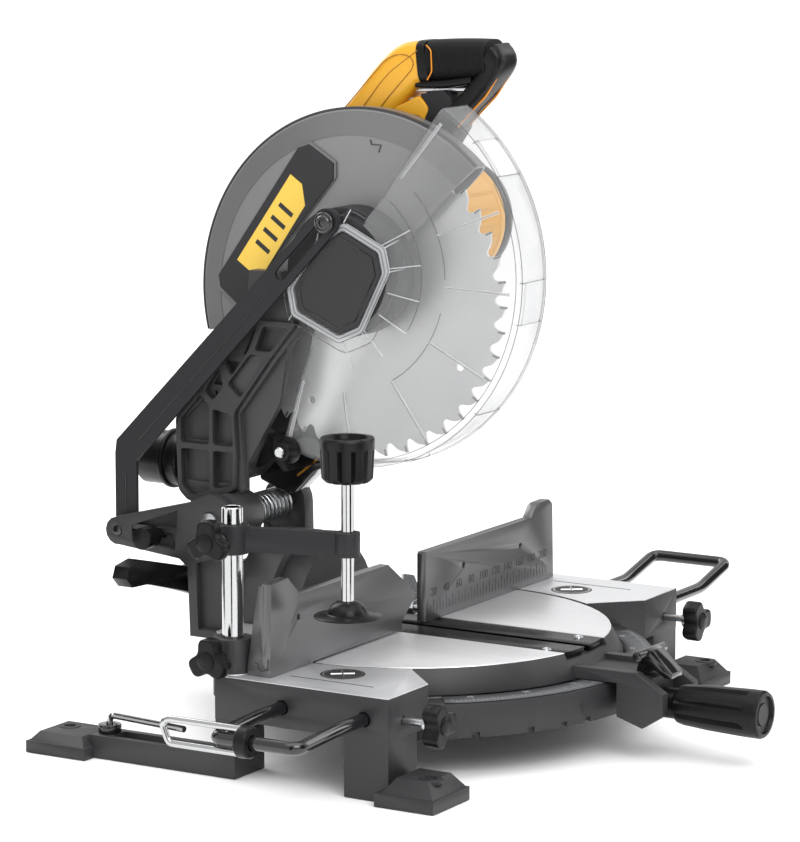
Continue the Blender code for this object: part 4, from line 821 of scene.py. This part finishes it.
def guard_hub():
    """The dark octagonal plate on the clear guard's raised boss, in a clear stepped frame."""
    points = [(32.2, 392.2), (1.9, 377.5), (-1.6, 362.2), (18.6, 321.3), (36.1, 313.6), (72.2, 329.5),
              (75.6, 346.9), (52.7, 379.6)]
    face = plate("octagon_plate", [rounded(grown(points, 1.02), 2, 3)], "YZ", -53.2, -49.6, "lower_guard",
                 DARK_PLATE, 0.6)
    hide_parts("guard_hub_plate")
    wire("octagon_groove", [(-53.3, y, z) for y, z in grown(points, 0.9)], 0.5, "lower_guard", GLOSS_BLACK,
         2, cyclic=True)
    plate("octagon_frame", [rounded(grown(points, 1.2), 3, 3), rounded(grown(points, 1.05), 2, 3)], "YZ",
          -52.6, -49.0, "lower_guard", CLEAR_THICK, 0.5)
    for name, growth, x, corner, radius in (
            ("octagon_line_inner", 1.05, -52.8, 2.5, 0.42), ("octagon_line_middle", 1.12, -52.8, 2.5, 0.42),
            ("octagon_line_outer", 1.2, -52.2, 2.5, 0.42), ("boss_foot_line", 1.44, -43.2, 6, 0.4)):
        outline = rounded(grown(points, growth), corner, 3)
        clear_line(name, [(x, y, z) for y, z in outline], radius, cyclic=True)
    for index, (near, far) in enumerate(zip(grown(points, 1.2), grown(points, 1.44))):
        clear_line(f"boss_corner_{index}", [(-52.2, *near), (-43.2, *far)], 0.5, CLEAR_THICK)
    plate("link_ear", [ring((LINK_TOP.y, LINK_TOP.z), 10.5, 40)], "YZ", -53.5, -49.6, "lower_guard",
          DARK_PLATE, 0.6)


def guard_link():
    """The slotted steel link between the fan bracket and the guard."""
    bend = Vector((236.0, 204.0))
    foot, top = Vector((LINK_FOOT.y, LINK_FOOT.z)), Vector((LINK_TOP.y, LINK_TOP.z))
    lean = atan2(top.y - bend.y, top.x - bend.x)
    along = Vector((cos(lean), sin(lean)))
    across = Vector((-sin(lean), cos(lean)))
    half = 10.5
    outline = arc(foot, half, 180, 360, 14)
    outline += [(bend.x + half, bend.y - 2), (bend.x + half - 1.5, bend.y + 9)]
    outline += arc(top, half + 0.4, degrees(lean) - 90, degrees(lean) + 90, 16)
    outline += [(bend.x - half, bend.y - 7)]
    slot_hole = arc(top, 4.8, degrees(lean) - 90, degrees(lean) + 90, 8)
    slot_hole += arc(top - along * 60, 4.8, degrees(lean) + 90, degrees(lean) + 270, 8)
    link = plate("slotted_link", [outline, slot_hole], "YZ", -57.4, -54.0, "guard_link", CAST_FINE,
                 0.5)
    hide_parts("guard_link_arm")
    face = -57.5
    for name, start, end in (
            ("link_groove", top - along * 76 + across * 2, bend + along * 16 + across * 2),
            ("link_foot_groove", (bend.x, bend.y - 18), (foot.x, foot.y + 16))):
        wire(name, [(face, *start), (face, *end)], 0.55, "guard_link", GLOSS_BLACK, 2)
    rivet = [(0, -61.0), (2.6, -61.0), (3.0, -62.6), (5.2, -62.4), (6.4, -61.2), (6.8, -57.6), (0, -57.6)]
    for name, point, body in (("link_top_rivet", top, "lower_guard"),
                              ("link_foot_rivet", foot, "guard_link")):
        lathe(name, rivet, (0, *point), "X", body, GLOSS_BLACK, 40, closed=False)
    lathe("link_foot_washer", [(8.6, -59.2), (8.6, face), (5.5, face), (5.5, -59.2)], (0, *foot), "X",
          "guard_link", CAST_FINE, 40)


# ---------------------------------------------------------------- head

def head_web():
    """The glossy black web from the hinge barrel to the gear housing, and its slim lever."""
    outline = [(156, 178), (134, 214), (112, 236), (70, 232), (72, 206), (83, 198), (103, 188), (123, 168),
               (140, 172)]
    plate("head_web", [rounded(outline, 4)], "YZ", 16, 37, "head", GLOSS_BLACK, 1.2)
    wire("head_web_rim", bent([(15.8, 80, 226), (15.8, 90, 206), (15.8, 118, 184)], 6), 1.0, "head",
         YELLOW_SHADED, 2)


def head_arm_ribs():
    """The lattice of ribs that stiffens the left face of the head arm."""
    outline = [(80, 318), (104, 289), (140, 241), (138, 208), (140, 178), (184, 166), (194, 175), (196, 234),
               (168, 265), (130, 316)]
    windows = [[(88, 313), (105, 293), (120, 293), (112, 313)],
               [(117, 313), (125, 294), (142, 271), (150, 283), (128, 313)],
               [(109, 288), (134, 254), (146, 264), (124, 290)],
               [(150, 262), (160, 250), (168, 257), (154, 278)],
               [(143, 240), (141, 214), (160, 214), (160, 243)],
               [(164, 246), (164, 214), (191, 214), (191, 233), (172, 254)],
               [(141, 209), (143, 182), (160, 178), (160, 209)],
               [(164, 209), (164, 177), (182, 171), (190, 178), (191, 209)]]
    openings = [rounded(window, 3, 3) for window in windows]
    plate("head_arm_ribs", [rounded(outline, 4)] + openings, "YZ", -44.5, -38.1, "head", CAST,
          0.7)
    lathe("guard_stop_screw", [(0, -50), (3.4, -50), (4.4, -49.2), (4.4, -46.2), (0, -46.2)], (0, 94, 214),
          "X", "head", CHROME, 32, closed=False)


def superellipse(centre, along, wide, tall, power, count=40):
    """A rounded cross-section across the path, wide along X and tall within the YZ plane."""
    direction = Vector((0, *along)).normalized()
    up = Vector((0, -direction.z, direction.y))
    points = []
    for i in range(count):
        circle = polar((0, 0), 1, 360 * i / count)
        x, y = (abs(part) ** (2 / power) * (1 if part >= 0 else -1) for part in circle)
        points.append(Vector((HANDLE_X + x * wide, *centre)) + up * y * tall)
    return points


def swept(name, path, material, nodes, power, body="head"):
    """Skin sections along a path of (y, z, half width, half thickness)."""
    sections = []
    for i, (y, z, wide, tall) in enumerate(path):
        before = path[max(i - 1, 0)]
        after = path[min(i + 1, len(path) - 1)]
        sections.append(superellipse((y, z), (after[0] - before[0], after[1] - before[1]), wide, tall, power))
    obj = loft(name, sections, body, material, 50)
    if nodes:
        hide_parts(*nodes)


def spline(points, count):
    """Catmull-Rom curve through control points of any length."""
    result = []
    spans = len(points) - 1
    for k in range(count):
        t = k / (count - 1) * spans
        i = min(int(t), spans - 1)
        u = t - i
        p0, p1, p2, p3 = (points[max(i - 1, 0)], points[i], points[i + 1], points[min(i + 2, spans)])
        result.append(tuple(0.5 * (2 * b + (c - a) * u + (2 * a - 5 * b + 4 * c - d) * u * u
                                   + (3 * b - a - 3 * c + d) * u ** 3)
                            for a, b, c, d in zip(p0, p1, p2, p3)))
    return result


def on_both_sides(name, points, offset, corner, radius, material):
    """The same fine line on the left and the right face of the handle."""
    for side, x in (("left", HANDLE_X - offset), ("right", HANDLE_X + offset)):
        line = bent([(x, y, z) for y, z in points], corner, 4)
        wire(f"{name}_{side}", line, radius, "head", material, 2)


def handle():
    """The D handle: flat yellow arm, ribbed rubber grip, slim front leg and the housing under it."""
    rear = spline([(88, 442, 17.4, 21), (74, 458, 17.4, 20), (52, 482, 17.6, 18.6), (35, 502, 18, 18.4),
                   (20, 516.4, 18.2, 17.8), (11, 520, 18, 17), (3, 520.6, 17.6, 16.6)], 30)
    swept("handle_yellow_arm", rear, YELLOW, ("handle_left_shell", "handle_right_shell"),
          5.0)
    recess = [(74.6, 480.5), (35.7, 521.5), (27, 526), (17.2, 526.9), (9.6, 523.8), (9.0, 516.8),
              (34.6, 490.4), (43, 480)]
    seam = [(58.8, 480.4), (39.1, 504.3), (30.0, 513.2), (5.8, 530.1)]
    # The recess and seam lines are drawn in darker yellow: painted shade in the grooves.
    on_both_sides("handle_recess", recess, 18.1, 5, 0.5, YELLOW_SHADED)
    on_both_sides("handle_seam", seam, 18.1, 4, 0.4, YELLOW_SHADED)
    collar = spline([(6.4, 520.4, 18.3, 17.4), (2.8, 520.8, 18.3, 17.4), (-1.2, 521.4, 17.7, 16.6)], 6)
    swept("grip_collar", collar, BLACK, None, 4.2)
    grip = []
    for i in range(141):
        y = -0.6 - 52.4 * i / 140
        rib = 0.62 if i % 4 in (1, 2) else 0.0
        t = -y / 53
        grip.append((y, 521.4 + 4.4 * t - 1.0 * t * t, 17.2 + rib, 16.0 - 1.6 * t * t + rib))
    swept("ribbed_grip", grip, RUBBER, ("handle_grip",), 3.0)
    piping = [(-2.4, 534.4), (-6.6, 530.6), (-7.4, 514.0), (-3.2, 507.4)]
    on_both_sides("grip_piping", piping, 18.2, 2, 0.55, ORANGE)
    under = spline([(10, 503.6, 14.5, 3.6), (-14, 504.4, 14.5, 3.8), (-40, 508.4, 14.5, 3.8)], 14)
    swept("grip_underside", under, BLACK, None, 4.0)
    front = spline([(-52.4, 525.4, 17.0, 13.8), (-56.0, 522, 16.4, 11.5), (-53.5, 513.5, 15.4, 8.4),
                    (-44, 501.5, 15.0, 8.0), (-30, 488, 15, 8.0), (-15, 473, 15, 9.0), (-4, 458, 15, 12)], 30)
    swept("handle_front_leg", front, BLACK, None, 4.2)
    edge = [(-60.0, 531.5), (-63.6, 524), (-61.2, 511.5), (-50.4, 495.6), (-36.0, 481.6), (-21.5, 467)]
    on_both_sides("handle_orange_edge", edge, 9.0, 3, 0.8, ORANGE)
    low_yellow = [(62, 470), (36, 482), (20, 488.6), (6.6, 495.2), (-2.6, 485.3), (2, 474), (8, 452),
                  (62, 452)]
    plate("handle_foot", [rounded(low_yellow, 4)], "YZ", HANDLE_X - 14.6, HANDLE_X + 14.6, "head", YELLOW,
          1.6)
    foot_seam = [(HANDLE_X - 14.9, y, z) for y, z in ((46, 470), (24, 478), (8, 480), (1, 476))]
    wire("handle_foot_seam", bent(foot_seam, 3, 4), 0.4, "head", YELLOW_SHADED, 2)
    low_black = [(6.2, 496.2), (-15.4, 499.6), (-22.6, 493.4), (-26, 470), (-16, 455), (8, 455), (3.0, 474),
                 (-2.2, 485.2)]
    plate("handle_foot_panel", [rounded(low_black, 2.5)], "YZ", HANDLE_X - 14.2, HANDLE_X + 14.2, "head",
          CAST_FINE, 1.0)
    blade = spline([(20.6, 490.4, 6.0, 1.5), (21.4, 494.6, 6.4, 2.0), (16, 498.2, 6.8, 2.4),
                    (4, 498.8, 7.0, 2.4), (-14, 499.8, 7.0, 2.4), (-33, 500.4, 6.5, 2.2)], 22)
    swept("trigger_blade", blade, EDGE_METAL, ("trigger",), 4.0, "trigger")


def motor():
    """Yellow motor shell with cooling fins and a vented black end cap."""
    centre = (0, *MOTOR_YZ)
    profile = [(49.2, 60.4), (50, 61.4), (50, 66), (49, 67), (49, 140), (50, 141), (50, 147), (49.4, 148),
               (47, 148), (47, 64), (16, 64), (16, 60.4)]
    shell = lathe("motor_shell", profile, centre, "X", "head", YELLOW)
    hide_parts("motor_housing")
    for name, profile, material in (
            ("motor_flange", [(57, 52.4), (57.4, 53), (57.4, 55.4), (56.8, 56), (50.2, 56), (50.2, 52.4)],
             YELLOW),
            ("motor_vent_ring", [(56, 56.4), (56, 59.6), (50.4, 66), (50.2, 56.4)], DARK_PLATE)):
        lathe(name, profile, centre, "X", "head", material)
    # Dark dots on the vent ring stand for the vent openings: painted shade.
    for i in range(24):
        y, z = polar(MOTOR_YZ, 55.6, 15 * i)
        rod(f"motor_vent_{i}", (57, y, z), (62, y, z), 1.6, "head", PRINT_AND_OPENING_SHADE, 10, 0.2)
    for i in range(5):
        y, z = polar(MOTOR_YZ, 49.2, 150 + 15 * i)
        block(f"motor_fin_{i}", (70, y - 1.2, z - 1.6), (138, y + 1.2, z + 1.6), "head", YELLOW,
              0.6)
    profile = [(0, 170), (34, 170), (44, 167.6), (48.6, 162), (50, 156), (50, 148.4), (46.5, 148.4),
               (46.5, 160), (12, 164), (0, 164)]
    cap = lathe("motor_cap", profile, centre, "X", "head", BLACK, closed=False)
    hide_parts("motor_end_cap")
    # Dark bars on the end cap stand for its vent slots: painted shade.
    for i in range(6):
        rise = 11 * i - 27.5
        z = MOTOR.z + rise
        half = 0.8 * (38 ** 2 - rise ** 2) ** 0.5
        block(f"cap_slot_{i}", (169.6, MOTOR.y - half, z - 1.6), (170.25, MOTOR.y + half, z + 1.6), "head",
              PRINT_AND_OPENING_SHADE, 0.2)


def return_spring():
    """The torsion spring round the head's hinge."""
    turns, first, last, coil = 9, -17.0, 34.0, 11.6
    steps = turns * 28
    path = []
    for i in range(steps + 1):
        x = first + (last - first) * i / steps
        path.append((x, *polar((HEAD.y, HEAD.z), coil, 360 * turns * i / steps)))
    spring = wire("torsion_spring", path, 1.5, "bevel_arm", STEEL, 3)
    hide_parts("return_spring")


# ---------------------------------------------------------------- stage

FLOOR_REACH = 14.0
CARD_REACH = 0.72
CARD_HEIGHT = 0.75
DARK_CARDS = ((-80, 0.14), (-18, 0.42), (62, 0.3), (-148, 0.3), (-170, 0.16))


def plain_material(name, grey, gloss=0.5):
    material, nodes, _ = new_material(name)
    set_inputs(nodes["Principled BSDF"], Base_Color=(grey, grey, grey, 1), Roughness=0.9,
               Specular_IOR_Level=gloss)
    return material


def dark_card(name, azimuth, wide):
    """An upright black card that only mirrors and gloss can see, for dark stripes in the chrome."""
    turn = Matrix.Rotation(radians(azimuth), 4, "Z")
    shape = bmesh.new()
    outline = [(-wide / 2, 0.0), (wide / 2, 0.0), (wide / 2, CARD_HEIGHT), (-wide / 2, CARD_HEIGHT)]
    shape.faces.new([shape.verts.new(turn @ Vector((x, -CARD_REACH, z))) for x, z in outline])
    card = mesh_object(name, shape)
    card.data.materials.append(plain_material(name, 0.015, 0.1))
    card.visible_camera = False
    card.visible_diffuse = False
    card.visible_shadow = False
    card.visible_transmission = False


def stage():
    """A plain pale floor, a bright even room, a soft ceiling and three soft lamps."""
    shape = bmesh.new()
    bmesh.ops.create_grid(shape, x_segments=1, y_segments=1, size=FLOOR_REACH)
    floor = mesh_object("floor", shape)
    floor.location.z = -0.0006
    floor.data.materials.append(plain_material("floor", 0.96))
    world = bpy.data.worlds.new("studio")
    world.use_nodes = True
    set_inputs(world.node_tree.nodes["Background"], Color=(1, 1, 1, 1), Strength=0.84)
    bpy.context.scene.world = world
    for index, (azimuth, wide) in enumerate(DARK_CARDS):
        dark_card(f"dark_card_{index}", azimuth, wide)
    sun = bpy.data.lights.new("ceiling", "SUN")
    sun.energy = 1.5
    sun.angle = radians(70)
    add_object("ceiling", sun).rotation_euler = (radians(8), radians(-10), 0)
    for name, position, target, size, power in (
            ("key", (-1.4, -1.6, 1.9), (0, 0, 0.25), 1.4, 26),
            ("fill", (1.9, -1.2, 1.3), (0, 0, 0.3), 1.6, 16),
            ("back", (0.4, 1.9, 1.6), (0, 0, 0.3), 1.4, 22)):
        light = bpy.data.lights.new(name, "AREA")
        light.energy = power
        light.size = size
        lamp = add_object(name, light)
        lamp.location = position
        lamp.rotation_euler = (Vector(target) - Vector(position)).to_track_quat("-Z", "Y").to_euler()


def camera():
    """A long lens from the front left, a little above the table."""
    azimuth, elevation = radians(-59.097), radians(9.126)
    lens = bpy.data.cameras.new("camera")
    lens.sensor_fit = "AUTO"
    lens.sensor_width = 36
    lens.lens = 157.86
    lens.clip_end = 50
    eye = add_object("camera", lens)
    eye.location = Vector((-2.4665, -1.4644, 0.7012)) + ORIGIN
    view = Vector((-sin(azimuth) * cos(elevation), cos(azimuth) * cos(elevation), -sin(elevation)))
    eye.rotation_euler = view.to_track_quat("-Z", "Y").to_euler()
    bpy.context.scene.camera = eye
    bpy.context.scene.view_settings.view_transform = "Standard"


dress_frame()
fence_scale()
wing_details()
scale_label()
small_fittings()
side_supports()
clamp_pieces()
mitre_handle()
saw_blade()
upper_guard()
lower_guard()
guard_hub()
guard_link()
head_web()
head_arm_ribs()
handle()
motor()
return_spring()
stage()
camera()
